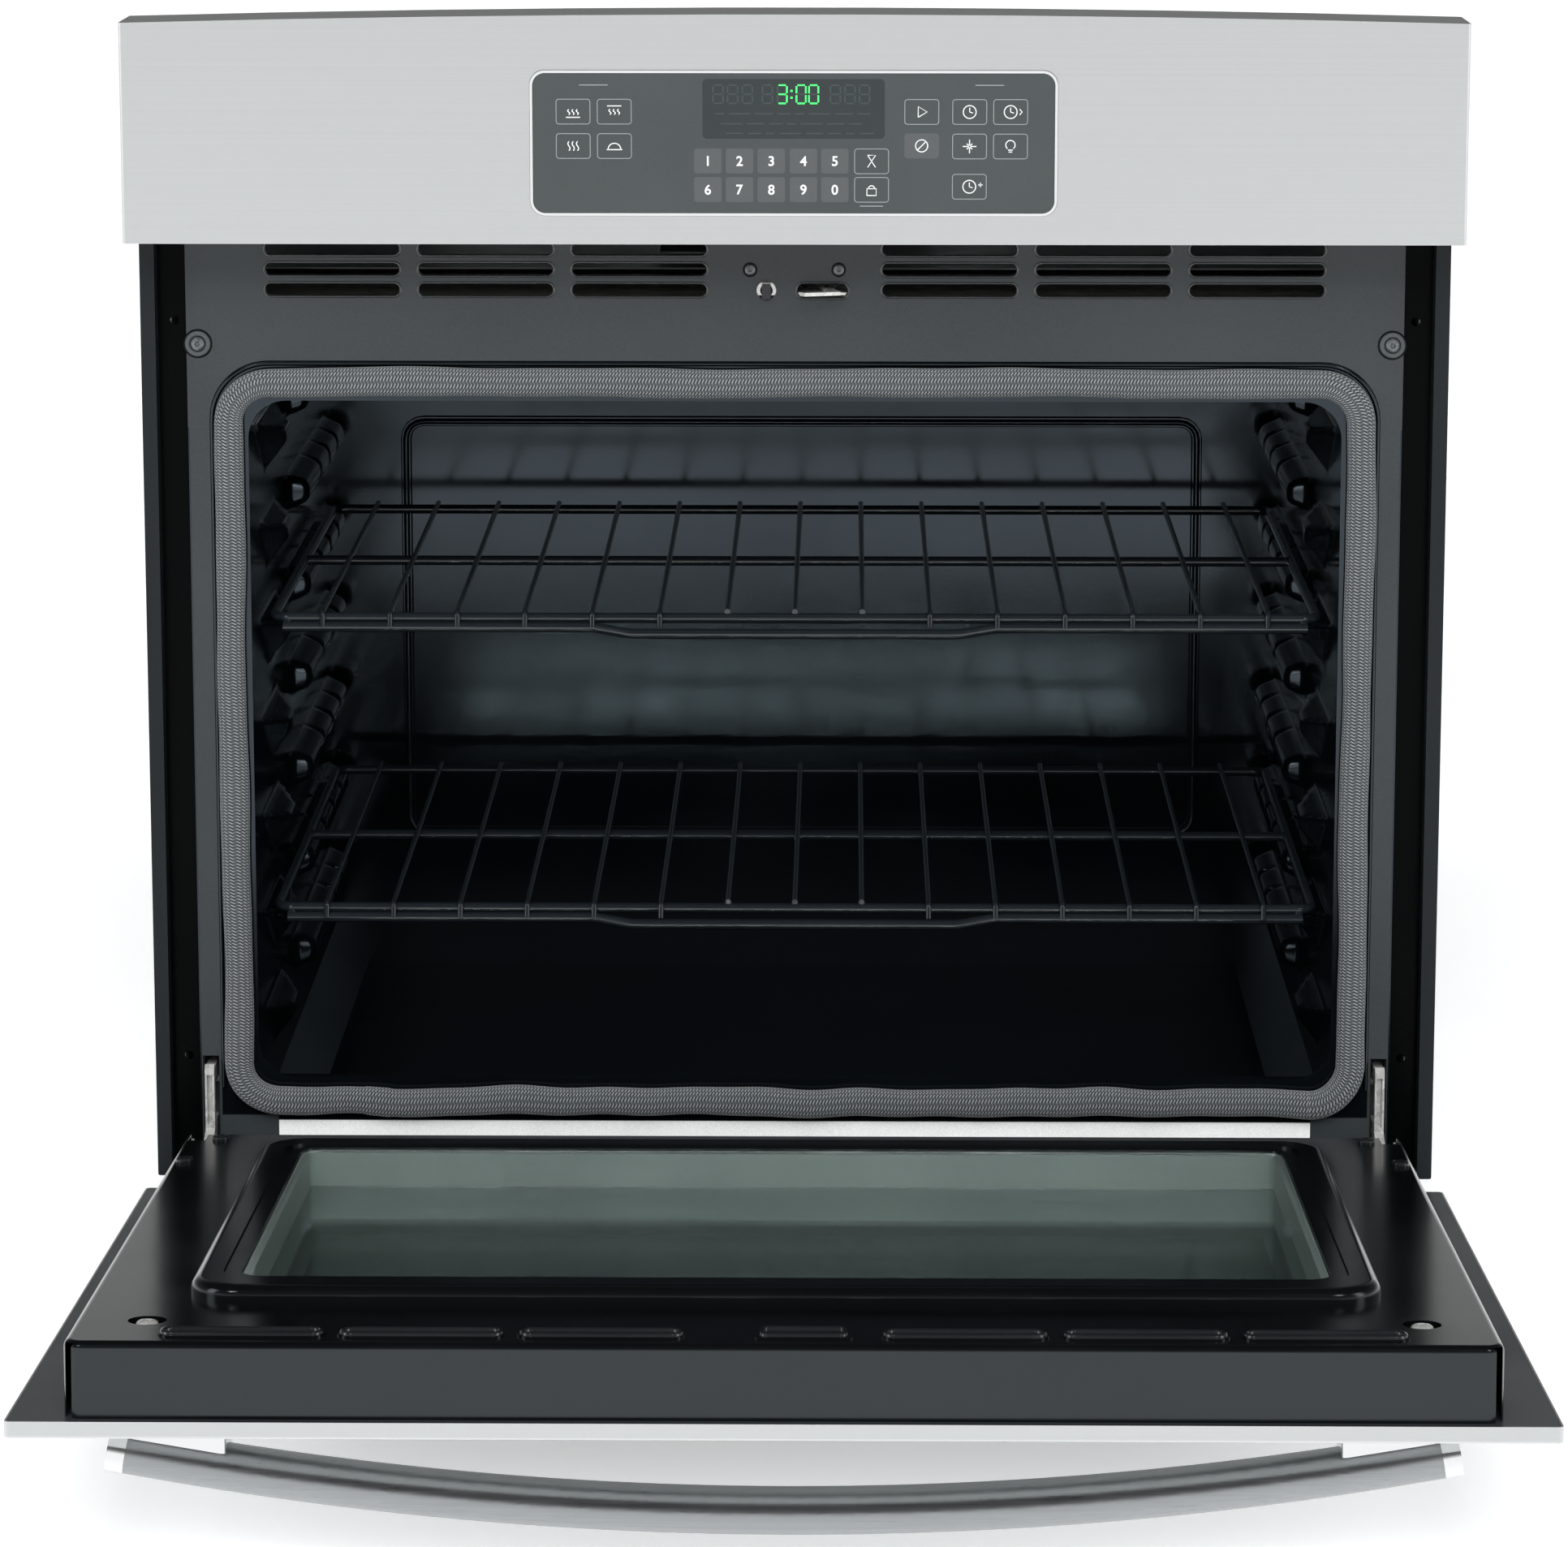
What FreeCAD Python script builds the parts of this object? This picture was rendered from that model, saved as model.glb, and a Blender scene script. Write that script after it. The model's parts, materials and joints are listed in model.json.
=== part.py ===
import FreeCAD, Part
import math
import os

# Built-in electric wall oven, 30 inch class, shown with its door open on the stop.
# X is to the right as seen from the front, Y goes back into the cabinet, Z is up.
# The origin is the centre of the chassis underside, where the oven rests on its shelf.
# All lengths are millimetres.

V = FreeCAD.Vector
X_AXIS = V(1, 0, 0)
Y_AXIS = V(0, 1, 0)
Z_AXIS = V(0, 0, 1)

# ---- driving dimensions -------------------------------------------------------------
FRONT_W = 755.65            # stainless front, 29 3/4 inch
FRONT_TOP = 709.0           # top of the panel at the middle of its arch
FRONT_BOTTOM = -18.0        # bottom of the lower trim: 727 mm front in all
CHASSIS_W = 718.0           # box that slides into the cabinet
CHASSIS_H = 654.0
CHASSIS_D = 566.0
SHEET = 1.2                 # pressed sheet steel
THIN = 0.8                  # stainless skins

CHASSIS_FRONT = -CHASSIS_D / 2
CHASSIS_REAR = CHASSIS_D / 2
HALF_CHASSIS = CHASSIS_W / 2
FRAME_Y = CHASSIS_FRONT - 6.0       # front face of the painted front frame
FLANGE_Y = FRAME_Y + 1.0            # front face of the enamelled cavity flange
PANEL_Y = FRAME_Y - 48.0            # front face of the control panel
GASKET_GAP = 9.0                    # frame to door liner with the door shut
DOOR_T = 46.5                       # door skin to door liner
LINER_Y = FRAME_Y - GASKET_GAP      # inner face of the shut door
DOOR_Y = LINER_Y - DOOR_T           # outer face of the shut door

# control panel
PANEL_BOTTOM = 580.0
PANEL_ARCH = 5.0
PANEL_END_TOP = FRONT_TOP - PANEL_ARCH
GLASS_W = 295.6
GLASS_H = 81.6
GLASS_Z = 637.0
GLASS_R = 8.5
DISPLAY_W = 102.0
DISPLAY_H = 33.0

# cavity
CAV_HALF = 314.0
CAV_FLOOR = 33.0
CAV_CEIL = 503.0
CAV_D = 480.0
CAV_FRONT = FLANGE_Y + SHEET
CAV_REAR = FRAME_Y + CAV_D
OPEN_BOTTOM = 83.0
OPEN_TOP = 484.0
OPEN_R = 22.0

# gasket
GASKET_HALF = 333.4
GASKET_BOTTOM = 61.4
GASKET_TOP = 503.6
GASKET_W = 16.7
GASKET_H = GASKET_GAP - 1.5
GASKET_R = 32.0

# racks and their seven embossed levels
RACK_PITCH = 58.0
RACK_LEVELS = 7
RACK_LEVEL_1 = 119.0
RACK_Z = {"lower_rack": RACK_LEVEL_1 + RACK_PITCH, "upper_rack": RACK_LEVEL_1 + 4 * RACK_PITCH}
RACK_HALF = 305.0
RACK_D = 390.0
RACK_FRONT = FRAME_Y + 36.0
RACK_ROD = 3.0              # radius of the frame rods
RACK_WIRE = 1.7             # radius of the long wires
RACK_WIRES = 15
RACK_WIRE_PITCH = 39.4
SLIDE_GAP = 0.4

# door, drawn shut and then swung open about its hinge pins
DOOR_HALF = FRONT_W / 2
DOOR_TOP = 575.0
DOOR_BOTTOM = 18.0
SKIN_RETURN = 8.5
LINER_HALF = 350.0
LINER_TOP = DOOR_TOP - 6.5
LINER_BOTTOM = 49.0         # where the inner face ends and the slope begins
LINER_TOE = 22.0            # where the slope meets the door frame
OPEN_ANGLE = 85.4
PIVOT_Y = DOOR_Y + 13.0
PIVOT_Z = 30.0
RIB_HALF = 300.0
RIB_LOW = 95.0
RIB_HIGH = 480.0
WIN_HALF = 276.0
WIN_LOW = 122.0
WIN_HIGH = 452.0
RIB_H = 8.0
OUTER_WIN_HALF = 248.0
OUTER_WIN_LOW = 170.0
OUTER_WIN_HIGH = 408.0

# handle
HANDLE_HALF = 331.0
HANDLE_Z = DOOR_TOP - 36.0
HANDLE_DEEP = 23.5          # across the bar, away from the door
HANDLE_TALL = 27.0
HANDLE_BOW = 31.0
HANDLE_NEAR = 0.8           # bar to door at the ends
CAP_LEN = 9.0
STANDOFF_LEN = 55.0

# hinges
HINGE_X = 342.5
ARM_T = 5.5
PIN_R = 3.0
PIN_GAP = 0.05

# door lock and door switch
LOCK_Z = 548.0
LOCK_PIVOT = (14.0, FRAME_Y + 54.0)
LOCK_SWING = 14.6           # degrees the lock arm turns to catch the shut door
SWITCH_X = -16.0

# vents in the front frame
VENT_L = 78.0
VENT_H = 7.8
VENT_X = (88.6, 176.4, 264.2)
VENT_Z = (571.7, 560.0, 548.3)

# cooling fan, in the compartment above the insulation
FAN_X = 0.0
FAN_Y = 40.0
FAN_BASE = 548.0
FAN_R = 56.0
FAN_H = 44.0
SCROLL_R = 84.0

CORNER_SCREW = (342.0, 517.0)
HEADER_SCREW = (25.3, 560.0)


# ---- shape helpers ------------------------------------------------------------------
def box(x0, x1, y0, y1, z0, z1):
    return Part.makeBox(x1 - x0, y1 - y0, z1 - z0, V(x0, y0, z0))


def rod(radius, start, end):
    run = V(*end) - V(*start)
    return Part.makeCylinder(radius, run.Length, V(*start), run)


def joined(first, *others):
    return first.fuse(list(others)).removeSplitter()


def without(shape, *cutters):
    return shape.cut(list(cutters))


def mirrored(shape):
    return shape.mirror(V(0, 0, 0), X_AXIS)


def both_sides(shape):
    return [shape, mirrored(shape)]


def prism(points, thickness_vector):
    """Close a flat outline and push it along a vector."""
    corners = [V(*point) for point in points]
    wire = Part.makePolygon(corners + [corners[0]])
    return Part.Face(wire).extrude(thickness_vector)


def rounded_plate(x0, x1, z0, z1, radius, y0, y1):
    """Upright plate with four rounded corners, from y0 back to y1."""
    k = radius * (1 - math.sqrt(0.5))
    edges = []
    corners = (
        ((x1 - radius, z0), (x1 - k, z0 + k), (x1, z0 + radius)),
        ((x1, z1 - radius), (x1 - k, z1 - k), (x1 - radius, z1)),
        ((x0 + radius, z1), (x0 + k, z1 - k), (x0, z1 - radius)),
        ((x0, z0 + radius), (x0 + k, z0 + k), (x0 + radius, z0)),
    )
    for index, (start, middle, end) in enumerate(corners):
        arc = Part.Arc(V(start[0], y0, start[1]), V(middle[0], y0, middle[1]), V(end[0], y0, end[1]))
        edges.append(arc.toShape())
        following = corners[(index + 1) % 4][0]
        edges.append(Part.LineSegment(V(end[0], y0, end[1]), V(following[0], y0, following[1])).toShape())
    return Part.Face(Part.Wire(edges)).extrude(V(0, y1 - y0, 0))


def slot(x, z, length, height, y0, y1):
    """Cutter for a round-ended slot through a sheet."""
    half = length / 2
    return rounded_plate(x - half, x + half, z - height / 2, z + height / 2, height / 2 - 0.01, y0, y1)


def bent_path(points, radius):
    """Straight runs joined by tangent arcs."""
    corners = [V(*point) for point in points]
    edges = []
    here = corners[0]
    for index in range(1, len(corners) - 1):
        before = (corners[index] - corners[index - 1]).normalize()
        after = (corners[index + 1] - corners[index]).normalize()
        turn = before.getAngle(after)
        setback = radius * math.tan(turn / 2)
        start = corners[index] - before * setback
        end = corners[index] + after * setback
        inward = (after - before).normalize()
        centre = corners[index] + inward * (radius / math.cos(turn / 2))
        middle = centre - inward * radius
        edges.append(Part.LineSegment(here, start).toShape())
        edges.append(Part.Arc(start, middle, end).toShape())
        here = end
    edges.append(Part.LineSegment(here, corners[-1]).toShape())
    return Part.Wire(edges)


def bent_rod(points, bend_radius, radius):
    path = bent_path(points, bend_radius)
    run = V(*points[1]) - V(*points[0])
    profile = Part.Wire([Part.makeCircle(radius, V(*points[0]), run)])
    return path.makePipeShell([profile], True, True)


def pan_head(x, y, z, radius, height, shank):
    """Screw along Y: rounded head in front of y, shank behind it."""
    head = Part.makeCylinder(radius, height, V(x, y - height, z), Y_AXIS)
    front = [edge for edge in head.Edges if abs(edge.CenterOfMass.y - (y - height)) < 0.01]
    head = head.makeFillet(height * 0.6, front)
    recess = Part.makeCylinder(radius * 0.42, height * 0.5, V(x, y - height, z), Y_AXIS)
    shaft = Part.makeCylinder(radius * 0.42, shank, V(x, y, z), Y_AXIS)
    return joined(head.cut(recess), shaft)


def swung_open(shape):
    """Swing a shut-door shape out to the open stop."""
    opened = shape.copy()
    opened.rotate(V(0, PIVOT_Y, PIVOT_Z), X_AXIS, OPEN_ANGLE)
    return opened


def export(name, *shapes):
    shape = shapes[0] if len(shapes) == 1 else Part.makeCompound(list(shapes))
    for solid in shape.Solids:
        if not solid.isValid() or solid.Volume <= 0:
            print("BAD SOLID", name)
    print(name, len(shape.Solids), round(shape.Volume / 1000.0, 1), "cm3")
    shape.exportStep("parts/%s.step" % name)


def export_door(name, *shapes):
    export(name, *[swung_open(shape) for shape in shapes])


# ---- chassis box --------------------------------------------------------------------
FLANGE_LIP = 14.0           # stiffening lips folded round the chassis sheets
CONDUIT = (250.0, 612.0)    # supply conduit hole in the rear panel
CONDUIT_R = 11.1


def base_pan():
    pan = box(-HALF_CHASSIS, HALF_CHASSIS, CHASSIS_FRONT, CHASSIS_REAR, 0, SHEET)
    inner = HALF_CHASSIS - SHEET
    rear_lip = box(-inner, inner, CHASSIS_REAR - 2 * SHEET, CHASSIS_REAR - SHEET, SHEET, FLANGE_LIP)
    front_lip = box(-inner, inner, CHASSIS_FRONT, CHASSIS_FRONT + SHEET, SHEET, FLANGE_LIP)
    cutters = []
    for x in (-240, -80, 80, 240):
        cutters.append(box(x - 40, x + 40, 236, 244, -1, SHEET + 1))
    return without(joined(pan, rear_lip, front_lip), *cutters)


def side_panel():
    outer = HALF_CHASSIS
    wall = box(outer - SHEET, outer, CHASSIS_FRONT, CHASSIS_REAR - SHEET, SHEET, CHASSIS_H - SHEET)
    lip_top = CHASSIS_H - SHEET
    lip = box(outer - FLANGE_LIP, outer - SHEET, CHASSIS_FRONT, CHASSIS_REAR - SHEET,
              lip_top - SHEET, lip_top)
    louvres = []
    for row in range(3):
        for y in (-150, -50, 50, 150):
            z = 600 + row * 18
            louvres.append(box(outer - 2, outer + 1, y - 30, y + 30, z, z + 5))
    return without(joined(wall, lip), *louvres)


def rear_panel():
    panel = box(-HALF_CHASSIS, HALF_CHASSIS, CHASSIS_REAR - SHEET, CHASSIS_REAR, SHEET, CHASSIS_H - SHEET)
    x, z = CONDUIT
    conduit = rod(CONDUIT_R, (x, CHASSIS_REAR - 3, z), (x, CHASSIS_REAR + 1, z))
    cutters = [conduit]
    for row in range(4):
        for x in (-200, -100, 0, 100):
            cutters.append(slot(x, 600 + row * 14, 76, 5, CHASSIS_REAR - 3, CHASSIS_REAR + 1))
    return without(panel, *cutters)


def top_cover():
    cover = box(-HALF_CHASSIS, HALF_CHASSIS, CHASSIS_FRONT, CHASSIS_REAR, CHASSIS_H - SHEET, CHASSIS_H)
    cutters = []
    for y in (140, 156, 172, 188):
        for x in (-180, -60, 60, 180):
            cutters.append(box(x - 45, x + 45, y, y + 6, CHASSIS_H - 3, CHASSIS_H + 1))
    return without(cover, *cutters)


# ---- front frame, flanges and trims -------------------------------------------------
HEADER_HALF = 348.5
STILE_OUT = 347.5
STILE_IN = 336.0
EAR_Z = 467.5
HEADER_TOP = PANEL_BOTTOM
FRAME_OPEN_TOP = 507.5
FRAME_FOOT = 12.0
QUAD_TOP = 60.0
SILL_HALF = 303.0
SILL_TOP = 57.0
HINGE_SLOT = (337.5, 347.0, 44.0, 96.0)
TRIM_IN = 365.0
TRIM_OUT = 373.4
TRIM_FOOT = 26.0
TRIM_TOP = PANEL_BOTTOM - 0.5
FLANGE_TOP = 700.0
TRIM_FRONT = FRAME_Y - 10.0
MOUNT_SCREW_X = 355.5
MOUNT_SCREW_Z = (95.0, 530.0)
MOUNT_HOLE_R = 2.6


def frame_openings():
    """Vents, screw holes, switch hole and lock slot, cut through the frame header."""
    y0, y1 = FRAME_Y - 2, FLANGE_Y + 3
    cutters = []
    for x in VENT_X:
        for z in VENT_Z:
            cutters.append(slot(x, z, VENT_L, VENT_H, y0, y1))
            cutters.append(slot(-x, z, VENT_L, VENT_H, y0, y1))
    cutters.append(slot(LOCK_PIVOT[0] + 2, LOCK_Z, 30, 9.0, y0, y1))
    switch_hole = rod(5.6, (SWITCH_X, y0, LOCK_Z), (SWITCH_X, y1, LOCK_Z))
    flat = box(SWITCH_X - 8, SWITCH_X + 8, y0, y1, LOCK_Z + 4.6, LOCK_Z + 8)
    cutters.append(switch_hole.cut(flat))
    for x, z in (HEADER_SCREW, CORNER_SCREW):
        cutters.append(rod(2.4, (x, y0, z), (x, y1, z)))
        cutters.append(rod(2.4, (-x, y0, z), (-x, y1, z)))
    return cutters


def front_frame():
    y0, y1 = FRAME_Y, FLANGE_Y
    header = rounded_plate(-HEADER_HALF, HEADER_HALF, EAR_Z, HEADER_TOP, 2.0, y0, y1)
    stile = box(STILE_IN - 14, STILE_OUT, y0, y1, FRAME_FOOT, EAR_Z + 10)
    foot = box(SILL_HALF, STILE_OUT, y0, y1, FRAME_FOOT, QUAD_TOP)
    opening = rounded_plate(-STILE_IN, STILE_IN, QUAD_TOP - 80, FRAME_OPEN_TOP, 34.0, y0 - 1, y1 + 1)
    upper = without(joined(header, stile, mirrored(stile)), opening)
    frame = joined(upper, foot, mirrored(foot))
    x0, x1, z0, z1 = HINGE_SLOT
    slots = both_sides(box(x0, x1, y0 - 1, y1 + 1, z0, z1))
    return without(frame, *(slots + frame_openings()))


def sill_plate():
    y0, y1 = FRAME_Y, FLANGE_Y
    face = box(-SILL_HALF + 0.2, SILL_HALF - 0.2, y0, y1, FRAME_FOOT, SILL_TOP)
    shelf = box(-SILL_HALF + 0.2, SILL_HALF - 0.2, y1, CHASSIS_FRONT, FRAME_FOOT, FRAME_FOOT + 1)
    return joined(face, shelf)


def side_flange():
    """Black flange that lies against the cabinet, beside the frame."""
    y0, y1 = CHASSIS_FRONT - SHEET, CHASSIS_FRONT
    plate = box(HEADER_HALF + 0.3, TRIM_OUT, y0, y1, TRIM_FOOT, FLANGE_TOP)
    holes = []
    for z in MOUNT_SCREW_Z:
        holes.append(rod(MOUNT_HOLE_R, (MOUNT_SCREW_X, y0 - 1, z), (MOUNT_SCREW_X, y1 + 1, z)))
    return without(plate, *holes)


def side_trim():
    """Slim channel that hides the cut edge of the cabinet."""
    y1 = CHASSIS_FRONT - SHEET
    web = rounded_plate(TRIM_IN, TRIM_OUT, TRIM_FOOT, TRIM_TOP, 1.2, TRIM_FRONT, y1)
    hollow = box(TRIM_IN + 1, TRIM_OUT - 1, TRIM_FRONT + 1, y1 + 1, TRIM_FOOT + 2, TRIM_TOP - 2)
    return without(web, hollow)


def bottom_trim():
    """Lower stainless trim, a channel whose open back faces the cabinet."""
    y0 = PANEL_Y
    y1 = CHASSIS_FRONT - SHEET
    top = 10.0
    outer = box(-DOOR_HALF + 1, DOOR_HALF - 1, y0, y1, FRONT_BOTTOM, top)
    inner = box(-DOOR_HALF + 2, DOOR_HALF - 2, y0 + 1, y1 + 1, FRONT_BOTTOM + 1, top - 1)
    cutters = [inner]
    for index in range(8):
        x = (index - 3.5) * 84
        cutters.append(box(x - 30, x + 30, y0 + 14, y0 + 20, top - 2, top + 1))
    return without(outer, *cutters)


def control_fascia():
    """Stainless control panel: arched top edge, folded returns, opening for the glass."""
    half = DOOR_HALF
    rise = PANEL_ARCH

    def outline(inset, y):
        x = half - inset
        low = PANEL_BOTTOM + inset
        end = PANEL_END_TOP - inset
        edges = [
            Part.LineSegment(V(-x, y, low), V(x, y, low)).toShape(),
            Part.LineSegment(V(x, y, low), V(x, y, end)).toShape(),
            Part.Arc(V(x, y, end), V(0, y, end + rise), V(-x, y, end)).toShape(),
            Part.LineSegment(V(-x, y, end), V(-x, y, low)).toShape(),
        ]
        return Part.Face(Part.Wire(edges))

    depth = CHASSIS_FRONT - SHEET - PANEL_Y
    outer = outline(0, PANEL_Y).extrude(V(0, depth, 0))
    upright = [edge for edge in outer.Edges
               if edge.BoundBox.ZLength > 50 and edge.BoundBox.YMax < PANEL_Y + 1]
    outer = outer.makeFillet(2.0, upright)
    inner = outline(SHEET, PANEL_Y + SHEET).extrude(V(0, depth, 0))
    half_w = GLASS_W / 2
    half_h = GLASS_H / 2
    window = rounded_plate(-half_w - 0.2, half_w + 0.2, GLASS_Z - half_h - 0.2, GLASS_Z + half_h + 0.2,
                           GLASS_R, PANEL_Y - 1, PANEL_Y + 3)
    return without(outer, inner, window)


def glass_outline(inset, y0, y1):
    half_w = GLASS_W / 2 - inset
    half_h = GLASS_H / 2 - inset
    return rounded_plate(-half_w, half_w, GLASS_Z - half_h, GLASS_Z + half_h, GLASS_R - inset, y0, y1)


def control_bezel():
    return without(glass_outline(0, PANEL_Y - 0.8, PANEL_Y + 3),
                   glass_outline(1.5, PANEL_Y - 2, PANEL_Y + 4))


def control_glass():
    return glass_outline(1.6, PANEL_Y - 0.4, PANEL_Y + 2.6)


def touch_board():
    """Touch-key circuit board behind the glass, with a window for the display."""
    y0 = PANEL_Y + 3.2
    board = glass_outline(3.5, y0, y0 + 1.6)
    window = box(-DISPLAY_W / 2 - 1, DISPLAY_W / 2 + 1, y0 - 1, y0 + 3,
                 display_low() - 1, display_low() + DISPLAY_H + 1)
    return without(board, window)


def display_low():
    """Bottom of the display, which sits high in the glass."""
    return GLASS_Z + GLASS_H / 2 - 5.0 - DISPLAY_H


def display_module():
    y0 = PANEL_Y + 3.2
    low = display_low()
    return box(-DISPLAY_W / 2, DISPLAY_W / 2, y0, y0 + 9, low, low + DISPLAY_H)


BOARD_Y = PANEL_Y + 26.0


def control_board():
    """Power and relay board on its standoffs."""
    board = box(-130, 130, BOARD_Y, BOARD_Y + 1.6, 600, 682)
    parts = []
    for index in range(4):
        x = -110 + index * 32
        parts.append(box(x, x + 20, BOARD_Y - 15, BOARD_Y, 606, 632))
    parts.append(box(60, 105, BOARD_Y - 17, BOARD_Y, 608, 645))
    parts.append(box(-110, -60, BOARD_Y - 10, BOARD_Y, 655, 672))
    return joined(board, *parts)


def control_tray():
    """Steel tray that carries the board and closes the panel from behind."""
    y1 = CHASSIS_FRONT - SHEET
    plate = box(-345, 345, y1 - 2, y1 - 1, PANEL_BOTTOM + 4, 698)
    studs = []
    for x in (-122, 122):
        for z in (606, 676):
            studs.append(rod(3.0, (x, BOARD_Y + 1.6, z), (x, y1 - 1, z)))
    return joined(plate, *studs)


# ---- cavity -------------------------------------------------------------------------
RIDGE = 5.5
RIDGE_H = 2.4
COVE = 23.0
LEDGE_IN = 300.0
LEDGE_RUNS = ((-252.0, -150.0), (-70.0, 20.0), (80.0, 170.0))


def cavity_flange():
    outer = rounded_plate(-HEADER_HALF, HEADER_HALF, FRAME_FOOT + 1.2, PANEL_BOTTOM - 1, 2,
                          FLANGE_Y, CAV_FRONT)
    opening = rounded_plate(-CAV_HALF, CAV_HALF, OPEN_BOTTOM, OPEN_TOP, OPEN_R,
                            FLANGE_Y - 1, CAV_FRONT + 1)
    x0, x1, z0, z1 = HINGE_SLOT
    cutters = both_sides(box(x0, x1, FLANGE_Y - 1, CAV_FRONT + 1, z0, z1))
    header_window = box(-318, 318, FLANGE_Y - 1, CAV_FRONT + 1, 540, 580)
    screw_holes = []
    for x, z in (HEADER_SCREW, CORNER_SCREW):
        screw_holes += both_sides(rod(2.4, (x, FLANGE_Y - 1, z), (x, CAV_FRONT + 1, z)))
    return without(outer, opening, header_window, *(cutters + screw_holes))


def cavity_side_wall():
    """Right wall with its embossed rack ledges."""
    wall = box(CAV_HALF, CAV_HALF + SHEET, CAV_FRONT, CAV_REAR, CAV_FLOOR, CAV_CEIL)
    ledges = []
    hollows = []
    for level in range(RACK_LEVELS):
        top = RACK_LEVEL_1 + level * RACK_PITCH - RACK_ROD - SLIDE_GAP
        profile = (
            (CAV_HALF + 0.5, 0, top),
            (LEDGE_IN, 0, top),
            (LEDGE_IN, 0, top - 3),
            (CAV_HALF + 0.5, 0, top - 16),
        )
        behind = (
            (CAV_HALF + SHEET, top - SHEET),
            (LEDGE_IN + SHEET, top - SHEET),
            (LEDGE_IN + SHEET, top - 2.5),
            (CAV_HALF + SHEET, top - 15.5),
        )
        for start, end in LEDGE_RUNS:
            ledges.append(prism([(x, start, z) for x, _, z in profile], V(0, end - start, 0)))
            hollow = prism([(x, start + SHEET, z) for x, z in behind], V(0, end - start - 2 * SHEET, 0))
            hollows.append(hollow)
    return without(joined(wall, *ledges), *hollows)


LAMP_X = 225.0
LAMP_Z = 452.0
SENSOR_X = -225.0
SENSOR_Z = 456.0
BROIL_Z = 484.0
BROIL_LEADS = (-30.0, 30.0)
ELEMENT_R = 3.4


def cavity_rear_wall():
    """Rear wall with its pressed rounded-rectangle ridge."""
    wall = box(-CAV_HALF - SHEET, CAV_HALF + SHEET, CAV_REAR, CAV_REAR + SHEET,
               CAV_FLOOR - SHEET, CAV_CEIL + SHEET)
    ridge = without(
        rounded_plate(-264, 264, 121, 404, 14, CAV_REAR - RIDGE_H, CAV_REAR + 0.5),
        rounded_plate(-264 + RIDGE, 264 - RIDGE, 121 + RIDGE, 404 - RIDGE, 9, CAV_REAR - 4, CAV_REAR + 1),
    )
    holes = [rod(24.0, (LAMP_X, CAV_REAR - 3, LAMP_Z), (LAMP_X, CAV_REAR + 3, LAMP_Z))]
    holes.append(rod(4.0, (SENSOR_X, CAV_REAR - 3, SENSOR_Z), (SENSOR_X, CAV_REAR + 3, SENSOR_Z)))
    for x in BROIL_LEADS:
        holes.append(rod(ELEMENT_R + 1, (x, CAV_REAR - 3, BROIL_Z), (x, CAV_REAR + 3, BROIL_Z)))
    return without(joined(wall, ridge), *holes)


def cavity_ceiling():
    half = CAV_HALF + SHEET
    return box(-half, half, CAV_FRONT, CAV_REAR, CAV_CEIL, CAV_CEIL + SHEET)


def cavity_floor():
    """Floor with a ramp at the front and a sloped cove along each side."""
    half = CAV_HALF + SHEET
    plate = box(-half, half, CAV_FRONT, CAV_REAR, CAV_FLOOR - SHEET, CAV_FLOOR)
    rise = OPEN_BOTTOM - CAV_FLOOR
    ramp = prism([
        (-CAV_HALF, CAV_FRONT, CAV_FLOOR - 0.5),
        (-CAV_HALF, CAV_FRONT, OPEN_BOTTOM),
        (-CAV_HALF, CAV_FRONT + 6, OPEN_BOTTOM),
        (-CAV_HALF, CAV_FRONT + 0.6 * rise, CAV_FLOOR - 0.5),
    ], V(2 * CAV_HALF, 0, 0))
    cove = prism([
        (CAV_HALF, CAV_FRONT, CAV_FLOOR - 0.5),
        (CAV_HALF - COVE, CAV_FRONT, CAV_FLOOR - 0.5),
        (CAV_HALF - COVE, CAV_FRONT, CAV_FLOOR),
        (CAV_HALF, CAV_FRONT, CAV_FLOOR + COVE),
    ], V(0, CAV_REAR - CAV_FRONT, 0))
    ramp_hollow = prism([
        (-CAV_HALF - 2, CAV_FRONT + SHEET, CAV_FLOOR - 2),
        (-CAV_HALF - 2, CAV_FRONT + SHEET, OPEN_BOTTOM - SHEET),
        (-CAV_HALF - 2, CAV_FRONT + 5, OPEN_BOTTOM - SHEET),
        (-CAV_HALF - 2, CAV_FRONT + 0.6 * rise - 1.6, CAV_FLOOR - 2),
    ], V(2 * CAV_HALF + 4, 0, 0))
    cove_hollow = prism([
        (CAV_HALF + 2, CAV_FRONT + 26, CAV_FLOOR - 2),
        (CAV_HALF - COVE + 2.5, CAV_FRONT + 26, CAV_FLOOR - 2),
        (CAV_HALF - 1.4, CAV_FRONT + 26, CAV_FLOOR + COVE - 5),
        (CAV_HALF + 2, CAV_FRONT + 26, CAV_FLOOR + COVE - 5),
    ], V(0, CAV_REAR - CAV_FRONT - 30, 0))
    return without(joined(plate, ramp, *both_sides(cove)), ramp_hollow, *both_sides(cove_hollow))


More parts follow.
